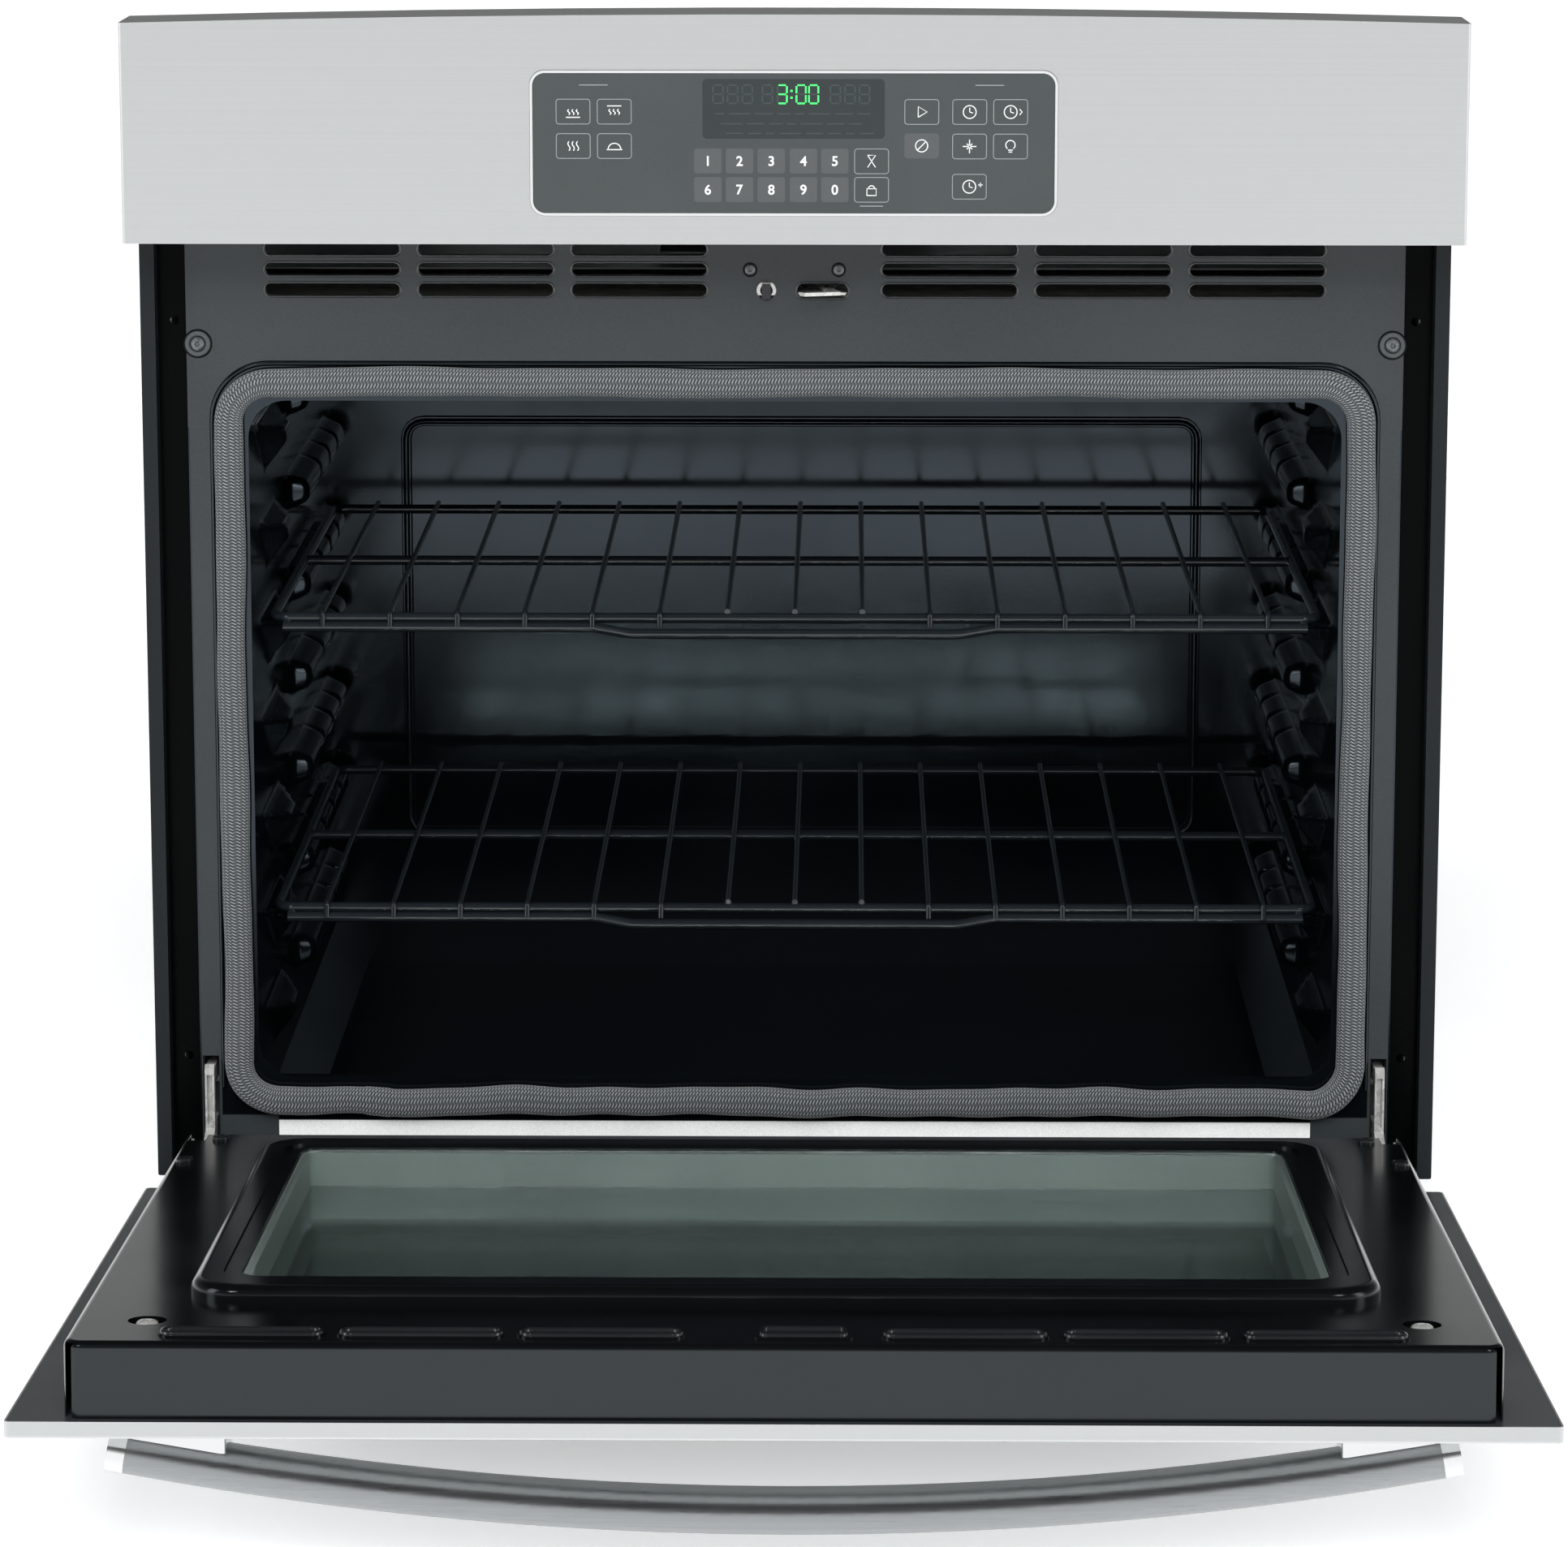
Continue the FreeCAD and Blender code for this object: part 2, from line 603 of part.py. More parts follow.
def insulation_blanket():
    """Mineral wool round the top, sides, bottom and back of the cavity."""
    outer = box(-338, 338, CAV_FRONT, 240, 2, 540)
    inner = box(-CAV_HALF - SHEET - 0.3, CAV_HALF + SHEET + 0.3, CAV_FRONT - 1, CAV_REAR + SHEET + 0.3,
                13.0, CAV_CEIL + SHEET + 0.3)
    hinge_space = both_sides(box(334, 350, CAV_FRONT - 1, -240, 30, 116))
    holes = [rod(27.0, (LAMP_X, 150, LAMP_Z), (LAMP_X, 250, LAMP_Z))]
    holes.append(rod(9.0, (SENSOR_X, 150, SENSOR_Z), (SENSOR_X, 250, SENSOR_Z)))
    for x in BROIL_LEADS:
        holes.append(rod(ELEMENT_R + 3, (x, 150, BROIL_Z), (x, 250, BROIL_Z)))
    for x in BAKE_LEADS:
        holes.append(rod(ELEMENT_R + 3, (x, 150, BAKE_Z), (x, 250, BAKE_Z)))
    front_sheets = box(-400, 400, CAV_FRONT - 1, CHASSIS_FRONT + SHEET + 0.1, -1, FLANGE_LIP + 0.2)
    return without(outer, inner, front_sheets, *(hinge_space + holes))


BAKE_Z = 23.0
BAKE_LEADS = (-60.0, 60.0)


def bake_element():
    """Sheathed heating rod that lies hidden under the cavity floor."""
    y_front, y_back = -230.0, 150.0
    points = [(BAKE_LEADS[0], 262, BAKE_Z), (BAKE_LEADS[0], y_front + 60, BAKE_Z)]
    points += [(-150, y_front + 60, BAKE_Z), (-150, y_back, BAKE_Z), (-240, y_back, BAKE_Z)]
    points += [(-240, y_front, BAKE_Z), (240, y_front, BAKE_Z), (240, y_back, BAKE_Z)]
    points += [(150, y_back, BAKE_Z), (150, y_front + 60, BAKE_Z)]
    points += [(BAKE_LEADS[1], y_front + 60, BAKE_Z), (BAKE_LEADS[1], 262, BAKE_Z)]
    return bent_rod(points, 20.0, ELEMENT_R)


def broil_element():
    """Grill rod that hangs just under the cavity ceiling."""
    y_front, y_back = -180.0, 110.0
    points = [(BROIL_LEADS[0], 262, BROIL_Z), (BROIL_LEADS[0], y_back, BROIL_Z), (-120, y_back, BROIL_Z)]
    points += [(-120, y_front + 50, BROIL_Z), (-220, y_front + 50, BROIL_Z), (-220, y_back, BROIL_Z)]
    points += [(-265, y_back, BROIL_Z), (-265, y_front, BROIL_Z), (265, y_front, BROIL_Z)]
    points += [(265, y_back, BROIL_Z), (220, y_back, BROIL_Z), (220, y_front + 50, BROIL_Z)]
    points += [(120, y_front + 50, BROIL_Z), (120, y_back, BROIL_Z), (BROIL_LEADS[1], y_back, BROIL_Z)]
    points += [(BROIL_LEADS[1], 262, BROIL_Z)]
    return bent_rod(points, 15.0, ELEMENT_R)


def broil_hangers():
    hangers = []
    for x in (-170.0, 170.0):
        for y in (-180.0,):
            strap = box(x - 5, x + 5, y - 1, y + 1, BROIL_Z + ELEMENT_R - 9, CAV_CEIL)
            clear = rod(ELEMENT_R + 0.1, (x - 6, y, BROIL_Z), (x + 6, y, BROIL_Z))
            band = without(rod(ELEMENT_R + 1.2, (x - 5, y, BROIL_Z), (x + 5, y, BROIL_Z)), clear)
            foot = box(x - 9, x + 9, y - 6, y + 6, CAV_CEIL - 1.2, CAV_CEIL)
            hangers.append(joined(band, strap.cut(clear), foot))
    return hangers


def temperature_sensor():
    probe = rod(2.4, (SENSOR_X, 110, SENSOR_Z), (SENSOR_X, 230, SENSOR_Z))
    plate = box(SENSOR_X - 18, SENSOR_X + 18, CAV_REAR - 1.2, CAV_REAR, SENSOR_Z - 9, SENSOR_Z + 9)
    return joined(probe, plate)


def lamp_socket():
    """Ceramic lamp holder set through the rear wall."""
    cup = rod(23.5, (LAMP_X, CAV_REAR - 0.4, LAMP_Z), (LAMP_X, 245, LAMP_Z))
    well = rod(20.0, (LAMP_X, CAV_REAR - 2, LAMP_Z), (LAMP_X, 236, LAMP_Z))
    lip = without(rod(29.0, (LAMP_X, CAV_REAR - 1.2, LAMP_Z), (LAMP_X, CAV_REAR, LAMP_Z)), well)
    return joined(without(cup, well), lip)


def oven_lamp():
    bulb = Part.makeSphere(14.0, V(LAMP_X, 210, LAMP_Z))
    neck = rod(9.0, (LAMP_X, 214, LAMP_Z), (LAMP_X, 236, LAMP_Z))
    return joined(bulb, neck)


def lamp_lens():
    """Domed glass cover over the lamp."""
    dome = Part.makeSphere(34.0, V(LAMP_X, CAV_REAR + 18.5, LAMP_Z))
    shell = dome.cut(Part.makeSphere(31.5, V(LAMP_X, CAV_REAR + 18.5, LAMP_Z)))
    inside = box(LAMP_X - 40, LAMP_X + 40, CAV_REAR - 30, CAV_REAR - 1.3, LAMP_Z - 40, LAMP_Z + 40)
    return shell.common(inside)


def door_gasket():
    """Woven tube seal round the cavity mouth, flat behind and crowned in front."""
    front = FLANGE_Y - 1.0 - GASKET_H
    outer = rounded_plate(-GASKET_HALF, GASKET_HALF, GASKET_BOTTOM, GASKET_TOP, GASKET_R, front, FLANGE_Y)
    inset = GASKET_HALF - GASKET_W
    inner = rounded_plate(-inset, inset, GASKET_BOTTOM + GASKET_W, GASKET_TOP - GASKET_W,
                          GASKET_R - GASKET_W, front - 1, FLANGE_Y + 1)
    ring = outer.cut(inner)
    crown = [edge for edge in ring.Edges if edge.BoundBox.YMax < front + 0.01]
    return ring.makeFillet(5.5, crown)


# ---- racks --------------------------------------------------------------------------
def oven_rack(z):
    """Welded wire rack: round rods carry fifteen long wires."""
    front, rear = RACK_FRONT, RACK_FRONT + RACK_D
    middle = (front + rear) / 2
    half = RACK_HALF
    start = (0, rear, z)
    loop = [start, (half, rear, z), (half, front, z), (-half, front, z), (-half, rear, z), start]
    rim = bent_rod(loop, 9.0, RACK_ROD)
    grip_y = front - 7.5
    grip_z = z - 5.0
    grip = bent_rod([
        (-half + 6, grip_y + 4, grip_z), (-118, grip_y + 4, grip_z), (-96, grip_y, grip_z - 3),
        (96, grip_y, grip_z - 3), (118, grip_y + 4, grip_z), (half - 6, grip_y + 4, grip_z),
    ], 20.0, RACK_ROD)
    bars = [grip, rod(RACK_ROD, (-half, middle, z), (half, middle, z))]
    for x in (-half + 8, half - 8):
        bars.append(rod(RACK_ROD - 0.6, (x, front, z), (x, grip_y + 4, grip_z)))
    top = z + RACK_ROD + RACK_WIRE - 0.8
    for index in range(RACK_WIRES):
        step = index - RACK_WIRES // 2
        x = step * RACK_WIRE_PITCH
        if abs(step) <= 1:
            bars.append(rod(RACK_WIRE, (x, front - 1, top), (x, rear + 1, top)))
        else:
            low = grip_z + 0.5
            path = [(x, rear + 1, top), (x, front - 4.5, top), (x, front - 7.0, low)]
            bars.append(bent_rod(path, 2.4, RACK_WIRE))
    return joined(rim, *bars)


# ---- cooling fan --------------------------------------------------------------------
BLADES = 18
SHAFT_R = 3.0
MOTOR_R = 34.0
MOTOR_Z = FAN_BASE + 62.0


def fan_rotor():
    disc = rod(FAN_R, (FAN_X, FAN_Y, FAN_BASE + 4), (FAN_X, FAN_Y, FAN_BASE + 5.5))
    hub = rod(9.0, (FAN_X, FAN_Y, FAN_BASE + 4), (FAN_X, FAN_Y, FAN_BASE + 20))
    rim = FAN_BASE + FAN_H
    ring = without(rod(FAN_R, (FAN_X, FAN_Y, rim), (FAN_X, FAN_Y, rim + 2)),
                   rod(FAN_R - 14, (FAN_X, FAN_Y, rim - 1), (FAN_X, FAN_Y, rim + 3)))
    blades = []
    for index in range(BLADES):
        blade = box(FAN_R - 14, FAN_R - 1, -0.6, 0.6, FAN_BASE + 5, FAN_BASE + FAN_H + 0.5)
        blade.rotate(V(FAN_R - 7, 0, 0), Z_AXIS, 25)
        blade.rotate(V(0, 0, 0), Z_AXIS, index * 360.0 / BLADES)
        blade.translate(V(FAN_X, FAN_Y, 0))
        blades.append(blade)
    shaft = rod(SHAFT_R, (FAN_X, FAN_Y, FAN_BASE + 4), (FAN_X, FAN_Y, MOTOR_Z + 20))
    return joined(disc, hub, ring, shaft, *blades)


def fan_housing():
    """Sheet scroll round the rotor, blowing forward to the vents."""
    top = FAN_BASE + 58
    drum = rod(SCROLL_R, (FAN_X, FAN_Y, FAN_BASE), (FAN_X, FAN_Y, top))
    mouth = box(FAN_X - SCROLL_R, FAN_X + 20, FAN_Y - 150, FAN_Y, FAN_BASE, top)
    inside = rod(SCROLL_R - SHEET, (FAN_X, FAN_Y, FAN_BASE + SHEET), (FAN_X, FAN_Y, top - SHEET))
    throat = box(FAN_X - SCROLL_R + SHEET, FAN_X + 20 - SHEET, FAN_Y - 151, FAN_Y,
                 FAN_BASE + SHEET, top - SHEET)
    inlet = rod(30.0, (FAN_X, FAN_Y, top - 3), (FAN_X, FAN_Y, top + 1))
    return without(joined(drum, mouth), inside, throat, inlet)


def fan_motor():
    can = rod(MOTOR_R, (FAN_X, FAN_Y, MOTOR_Z), (FAN_X, FAN_Y, MOTOR_Z + 40))
    bore = rod(SHAFT_R + PIN_GAP, (FAN_X, FAN_Y, MOTOR_Z - 1), (FAN_X, FAN_Y, MOTOR_Z + 21))
    legs = []
    for angle in (90, 210, 330):
        x = FAN_X + 46 * math.cos(math.radians(angle))
        y = FAN_Y + 46 * math.sin(math.radians(angle))
        x_in = FAN_X + 20 * math.cos(math.radians(angle))
        y_in = FAN_Y + 20 * math.sin(math.radians(angle))
        legs.append(rod(3.0, (x, y, FAN_BASE + 58), (x, y, MOTOR_Z + 5)))
        legs.append(rod(3.0, (x, y, MOTOR_Z + 4), (x_in, y_in, MOTOR_Z + 4)))
    return without(joined(can, *legs), bore)


def air_deck():
    """Sheet deck under the fan that keeps cooling air off the insulation."""
    return box(-350, 350, -180, 250, FAN_BASE - 1, FAN_BASE)


def terminal_box():
    x, z = CONDUIT
    outer = box(x - 45, x + 45, 215, CHASSIS_REAR - SHEET, z - 35, z + 35)
    inner = box(x - 44, x + 44, 216, CHASSIS_REAR - SHEET + 1, z - 34, z + 34)
    return without(outer, inner)


def terminal_block():
    x, z = CONDUIT
    base = box(x - 30, x + 30, 216, 232, z - 12, z + 12)
    cutters = []
    for index in range(3):
        cutters.append(rod(4.0, (x - 18 + index * 18, 226, z), (x - 18 + index * 18, 234, z)))
    return without(base, *cutters)


# ---- door lock and switch -----------------------------------------------------------
HOOK_T = 2.0
CAM_X = -26.0


def latch_hook():
    """Lock arm through the frame: drawn hooked behind the door liner, then turned clear of it."""
    px, py = LOCK_PIVOT
    z0 = LOCK_Z - HOOK_T / 2
    nose_y = LINER_Y - 1.9
    tip_y = LINER_Y - 5.5
    lever = prism([
        (px - 6, py + 22, z0), (px - 6, py, z0), (3, FRAME_Y, z0), (3, nose_y, z0), (-14, nose_y, z0),
        (-12, tip_y, z0), (9, tip_y, z0), (9, FRAME_Y, z0), (px + 6, py, z0), (px + 6, py + 22, z0),
    ], V(0, 0, HOOK_T))
    lever.rotate(V(px, py, 0), Z_AXIS, LOCK_SWING)
    eye = rod(8.0, (px, py, z0), (px, py, z0 + HOOK_T))
    bore = rod(PIN_R + PIN_GAP, (px, py, z0 - 1), (px, py, z0 + 4))
    return without(joined(lever, eye), bore)


def latch_bracket():
    """Bracket under the lock arm with its pivot stud and the motor seat."""
    px, py = LOCK_PIVOT
    under = LOCK_Z - HOOK_T / 2 - 0.4
    plate = joined(box(-4, 34, CAV_FRONT + 0.2, py + 45, under - 1.5, under),
                   box(-50, -3, FRAME_Y + 38, py + 45, under - 1.5, under))
    stud = rod(PIN_R, (px, py, under), (px, py, under + HOOK_T + 1.6))
    posts = []
    for x in (CAM_X - 20, CAM_X + 20):
        posts.append(rod(1.8, (x, py + 20, under), (x, py + 20, LOCK_Z + 15)))
    return joined(plate, stud, *posts)


def latch_cam():
    """Motor cam that nudges the lock arm across."""
    py = LOCK_PIVOT[1] + 20
    z0 = LOCK_Z - HOOK_T / 2 + HOOK_T + 1.0
    disc = rod(16.0, (CAM_X, py, z0), (CAM_X, py, z0 + 4))
    spindle = rod(4.0, (CAM_X, py, z0), (CAM_X, py, LOCK_Z + 22))
    crank = rod(2.0, (CAM_X + 11, py, z0 + 3), (CAM_X + 11, py, z0 + 9))
    return joined(disc, spindle, crank)


def latch_motor():
    py = LOCK_PIVOT[1] + 20
    can = rod(22.0, (CAM_X, py, LOCK_Z + 15), (CAM_X, py, LOCK_Z + 15 + 17))
    bore = rod(4.0 + PIN_GAP, (CAM_X, py, LOCK_Z + 13), (CAM_X, py, LOCK_Z + 24))
    return without(can, bore)


def switch_plunger():
    rod_y = FRAME_Y - 4.5
    tip = rod(2.6, (SWITCH_X, rod_y, LOCK_Z), (SWITCH_X, FRAME_Y + 20, LOCK_Z))
    collar = rod(4.0, (SWITCH_X, FRAME_Y + 10, LOCK_Z), (SWITCH_X, FRAME_Y + 12, LOCK_Z))
    return joined(tip, collar)


def switch_body():
    """Door switch with a guide bore and a well for the plunger's return travel."""
    y0, y1 = FRAME_Y + 4.0, FRAME_Y + 34.0
    case = box(SWITCH_X - 8, SWITCH_X + 8, y0, y1, LOCK_Z + 3.5 - 9, LOCK_Z + 9)
    guide = rod(2.6 + PIN_GAP, (SWITCH_X, y0 - 1, LOCK_Z), (SWITCH_X, y1 - 3, LOCK_Z))
    well = rod(4.4, (SWITCH_X, y0 + 5.5, LOCK_Z), (SWITCH_X, y0 + 18, LOCK_Z))
    return without(case, guide, well)


def switch_bracket():
    """Bright bracket that carries the switch behind its hole."""
    face = box(SWITCH_X - 10, SWITCH_X + 10, FLANGE_Y, FLANGE_Y + 1, LOCK_Z - 6.8, LOCK_Z + 9)
    shelf = box(SWITCH_X - 10, SWITCH_X + 10, FLANGE_Y, FRAME_Y + 34, LOCK_Z - 6.8, LOCK_Z - 5.6)
    hole = rod(3.6, (SWITCH_X, FLANGE_Y - 1, LOCK_Z), (SWITCH_X, FLANGE_Y + 2, LOCK_Z))
    return without(joined(face, shelf), hole)


# ---- frame fasteners ----------------------------------------------------------------
def corner_washers():
    rings = []
    z = CORNER_SCREW[1]
    for x in (CORNER_SCREW[0], -CORNER_SCREW[0]):
        ring = rod(7.4, (x, FRAME_Y - 1.6, z), (x, FRAME_Y, z))
        front = [edge for edge in ring.Edges if abs(edge.CenterOfMass.y - (FRAME_Y - 1.6)) < 0.01]
        ring = ring.makeFillet(1.0, front)
        rings.append(ring.cut(rod(3.0, (x, FRAME_Y - 3, z), (x, FRAME_Y + 1, z))))
    return rings


def frame_screws():
    screws = []
    for side in (1, -1):
        screws.append(pan_head(side * CORNER_SCREW[0], FRAME_Y - 1.6, CORNER_SCREW[1], 4.2, 2.0, 9.0))
        screws.append(pan_head(side * HEADER_SCREW[0], FRAME_Y, HEADER_SCREW[1], 3.7, 1.8, 8.0))
    return screws


# ---- hinges -------------------------------------------------------------------------
ARM_TOP = 92.0
CHEEK_T = 1.2
CHEEK_IN = HINGE_X - ARM_T / 2 - 0.55
CHEEK_OUT = HINGE_X + ARM_T / 2 + 0.55
CHEEK_TOP = 112.0
TRAY_TOP = 264.0
TRAY_IN = 334.5
TRAY_OUT = 348.5
SPRING_X = (TRAY_IN + TRAY_OUT) / 2
SPRING_Y = DOOR_Y + 24.0


def along_x(points, x0, x1):
    """Push an outline given as (y, z) from x0 to x1."""
    return prism([(x0, y, z) for y, z in points], V(x1 - x0, 0, 0))


def hinge_arm():
    """Fixed arm: eye on the pin, leg to the frame, upright with two claws."""
    x0, x1 = HINGE_X - ARM_T / 2, HINGE_X + ARM_T / 2
    front, back = LINER_Y + 1.5, FRAME_Y - 1.0
    leg = along_x([
        (PIVOT_Y, PIVOT_Z - 6.5), (back, 41), (back, ARM_TOP - 3), (back - 2.4, ARM_TOP),
        (front + 2.4, ARM_TOP), (front, ARM_TOP - 3), (front, 54), (PIVOT_Y, PIVOT_Z + 6.5),
    ], x0, x1)
    upper_claw = along_x([
        (back - 1, 80), (FRAME_Y + 21, 80), (FRAME_Y + 21, 75),
        (FRAME_Y + 27, 75), (FRAME_Y + 27, 90), (back - 1, 90),
    ], x0, x1)
    lower_claw = along_x([(back - 1, 47), (FRAME_Y + 18, 47), (FRAME_Y + 18, 57), (back - 1, 57)], x0, x1)
    eye = rod(7.0, (x0, PIVOT_Y, PIVOT_Z), (x1, PIVOT_Y, PIVOT_Z))
    bore = rod(PIN_R + PIN_GAP, (x0 - 1, PIVOT_Y, PIVOT_Z), (x1 + 1, PIVOT_Y, PIVOT_Z))
    pocket = box(x0 + 1.2, x1 - 1.2, front - 1, front + 3, 56, ARM_TOP - 6)
    return without(joined(leg, upper_claw, lower_claw, eye), bore, pocket)


def hinge_receiver():
    """Open-fronted box behind the frame that the arm's claws hook into."""
    shell = box(336.0, 348.5, CAV_FRONT, FRAME_Y + 42, 36, 108)
    hollow = box(337.2, 347.3, CAV_FRONT - 1, FRAME_Y + 41, 37.2, 106.8)
    return without(shell, hollow)


def hinge_body():
    """Door half of the hinge: two cheeks on the pin, and the tray of the spring."""
    u0 = DOOR_Y + 3.0
    outline = [
        (u0, 21.5), (DOOR_Y + 9, 23.5), (LINER_Y - 2.5, 50), (LINER_Y - 2.5, CHEEK_TOP), (u0, CHEEK_TOP),
    ]
    cheeks = [along_x(outline, CHEEK_IN - CHEEK_T, CHEEK_IN),
              along_x(outline, CHEEK_OUT, CHEEK_OUT + CHEEK_T)]
    web = box(CHEEK_IN - CHEEK_T, CHEEK_OUT + CHEEK_T, u0, u0 + CHEEK_T, 48, CHEEK_TOP)
    tray = box(TRAY_IN, TRAY_OUT, u0, LINER_Y - 2.5, CHEEK_TOP - CHEEK_T, TRAY_TOP)
    hollow = box(TRAY_IN + CHEEK_T, TRAY_OUT - CHEEK_T, u0 + CHEEK_T, LINER_Y,
                 CHEEK_TOP, TRAY_TOP - CHEEK_T)
    guide = rod(2.5, (SPRING_X, SPRING_Y, CHEEK_TOP - 3), (SPRING_X, SPRING_Y, CHEEK_TOP + 1))
    pin = rod(PIN_R, (CHEEK_IN - 2, PIVOT_Y, PIVOT_Z), (CHEEK_OUT + 2, PIVOT_Y, PIVOT_Z))
    return without(joined(*cheeks, web, tray), hollow, guide, pin)


def hinge_pin():
    return rod(PIN_R, (CHEEK_IN - CHEEK_T, PIVOT_Y, PIVOT_Z), (CHEEK_OUT + CHEEK_T, PIVOT_Y, PIVOT_Z))


def spring_rod():
    """Pull rod of the counterbalance spring, drawn where it stands with the door open."""
    shaft = rod(2.0, (SPRING_X, SPRING_Y, 68), (SPRING_X, SPRING_Y, 246))
    washer = rod(5.3, (SPRING_X, SPRING_Y, 244), (SPRING_X, SPRING_Y, 246))
    return joined(shaft, washer)


def counter_spring():
    """Counterbalance spring: a helix of round wire between the tray floor and the washer."""
    turns = 30
    low, high = CHEEK_TOP + 1.3, 242.6
    helix = Part.makeHelix((high - low) / turns, high - low, 4.0)
    helix.translate(V(SPRING_X, SPRING_Y, low))
    start = helix.Vertexes[0].Point
    profile = Part.Wire([Part.makeCircle(1.0, start, V(0, 1, 0))])
    return Part.Wire(helix).makePipeShell([profile], True, True)


# ---- door ---------------------------------------------------------------------------
DOOR_VENT_Z = 551.0
DOOR_VENT_W = 75.0
DOOR_VENT_H = 8.6
DOOR_VENT_LIP = 3.6
DOOR_SLOT = (-9.0, 29.0, 542.0, 554.0)
POCKET = (314.0, 522.0)
HINGE_SCREWS = ((342.0, 129.0), (328.5, 66.0))


def door_skin():
    outer = rounded_plate(-DOOR_HALF, DOOR_HALF, DOOR_BOTTOM, DOOR_TOP, 3.0, DOOR_Y, DOOR_Y + SKIN_RETURN)
    front = [edge for edge in outer.Edges if edge.BoundBox.YMax < DOOR_Y + 0.01]
    outer = outer.makeFillet(1.4, front)
    inner = rounded_plate(-DOOR_HALF + 1, DOOR_HALF - 1, DOOR_BOTTOM + 1, DOOR_TOP - 1, 2.2,
                          DOOR_Y + 1, DOOR_Y + SKIN_RETURN + 1)
    window = rounded_plate(-OUTER_WIN_HALF, OUTER_WIN_HALF, OUTER_WIN_LOW, OUTER_WIN_HIGH, 10,
                           DOOR_Y - 1, DOOR_Y + 2)
    return without(outer, inner, window)


def door_frame():
    """Dark flange that closes the skin round the liner."""
    y0, y1 = DOOR_Y + SKIN_RETURN - 1.3, DOOR_Y + SKIN_RETURN - 0.1
    plate = rounded_plate(-DOOR_HALF + 1, DOOR_HALF - 1, DOOR_BOTTOM + 1, DOOR_TOP - 1, 2.2, y0, y1)
    inner = box(-LINER_HALF + 5, LINER_HALF - 5, y0 - 1, y1 + 1, LINER_TOE + 5, LINER_TOP - 5)
    notches = both_sides(box(336.5, 348.7, y0 - 1, y1 + 1, DOOR_BOTTOM + 2.2, CHEEK_TOP + 4))
    tray_notches = both_sides(box(333.5, 348.7, y0 - 1, y1 + 1, 100, TRAY_TOP + 2))
    return without(plate, inner, *(notches + tray_notches))


def liner_block(inset):
    """Solid outline of the liner, moved inward by a sheet thickness."""
    y0 = DOOR_Y + SKIN_RETURN - 0.1
    slope = [
        (y0, LINER_TOE + inset), (LINER_Y - inset, LINER_BOTTOM + inset),
        (LINER_Y - inset, LINER_TOP - inset), (y0, LINER_TOP - inset),
    ]
    return along_x(slope, -LINER_HALF + inset, LINER_HALF - inset)


def liner_ring(outer_half, low, high, radius, inset, y0, y1):
    return rounded_plate(-outer_half + inset, outer_half - inset, low + inset, high - inset, radius, y0, y1)


def door_liner():
    """Enamelled inner panel: raised window rib, air slots, lock slot, pockets, hinge slots."""
    block = liner_block(0)
    uprights = [edge for edge in block.Edges
                if abs(abs(edge.CenterOfMass.x) - LINER_HALF) < 0.01 and edge.BoundBox.YLength > 30
                and edge.CenterOfMass.z > 500]
    block = block.makeFillet(9.0, uprights)
    rim = [edge for edge in block.Edges
           if edge.BoundBox.YMin > LINER_Y - 0.01 and edge.CenterOfMass.z > LINER_BOTTOM - 1]
    block = block.makeFillet(3.5, rim)
    shell = block.cut(liner_block(SHEET))
    back = LINER_Y - SHEET
    crest = LINER_Y + RIB_H
    rib = liner_ring(RIB_HALF, RIB_LOW, RIB_HIGH, 26.0, 0, back, crest)
    crown = [edge for edge in rib.Edges if edge.BoundBox.YMin > crest - 0.01]
    rib = rib.makeFillet(5.5, crown)
    step = liner_ring(WIN_HALF + 9, WIN_LOW - 9, WIN_HIGH + 9, 18.0, 0, crest - 1.2, crest + 1)
    opening = rounded_plate(-WIN_HALF, WIN_HALF, WIN_LOW, WIN_HIGH, 12.0, back - 1, crest + 1)
    lips = []
    cutters = [step, opening]
    for x in VENT_X:
        for side in (1, -1):
            lips.append(slot(side * x, DOOR_VENT_Z, DOOR_VENT_W + 2 * DOOR_VENT_LIP,
                             DOOR_VENT_H + 2 * DOOR_VENT_LIP, LINER_Y - 0.5, LINER_Y + 0.9))
            cutters.append(slot(side * x, DOOR_VENT_Z, DOOR_VENT_W, DOOR_VENT_H, back - 1, LINER_Y + 2))
    x0, x1, z0, z1 = DOOR_SLOT
    lips.append(rounded_plate(x0 - 5, x1 + 5, z0 - 4, z1 + 4, 2.0, LINER_Y - 0.5, LINER_Y + 0.9))
    cutters.append(rounded_plate(x0, x1, z0, z1, 1.5, back - 1, LINER_Y + 2))
    for side in (1, -1):
        x, z = side * POCKET[0], POCKET[1]
        lips.append(rod(11.0, (x, LINER_Y - 8, z), (x, LINER_Y - 1, z)))
        cutters.append(rod(9.6, (x, LINER_Y - 6.8, z), (x, LINER_Y + 1, z)))
        cutters.append(rod(2.6, (x, LINER_Y - 9, z), (x, LINER_Y, z)))
        cutters.append(mirror_if(side, box(337.4, 347.6, DOOR_Y + 9, LINER_Y + 1, 0, 68)))
        for screw_x, screw_z in HINGE_SCREWS:
            x = side * screw_x
            cutters.append(rod(2.6, (x, back - 1, screw_z), (x, LINER_Y + 1, screw_z)))
    return without(joined(shell, rib, *lips), *cutters)


def mirror_if(side, shape):
    return shape if side > 0 else mirrored(shape)


def door_glass_inner():
    return rounded_plate(-WIN_HALF + 0.2, WIN_HALF - 0.2, WIN_LOW + 0.2, WIN_HIGH - 0.2, 11.8,
                         LINER_Y + 2.0, LINER_Y + 5.6)


def door_glass_middle():
    return rounded_plate(-271, 271, 127, 447, 3, LINER_Y - 20, LINER_Y - 17)


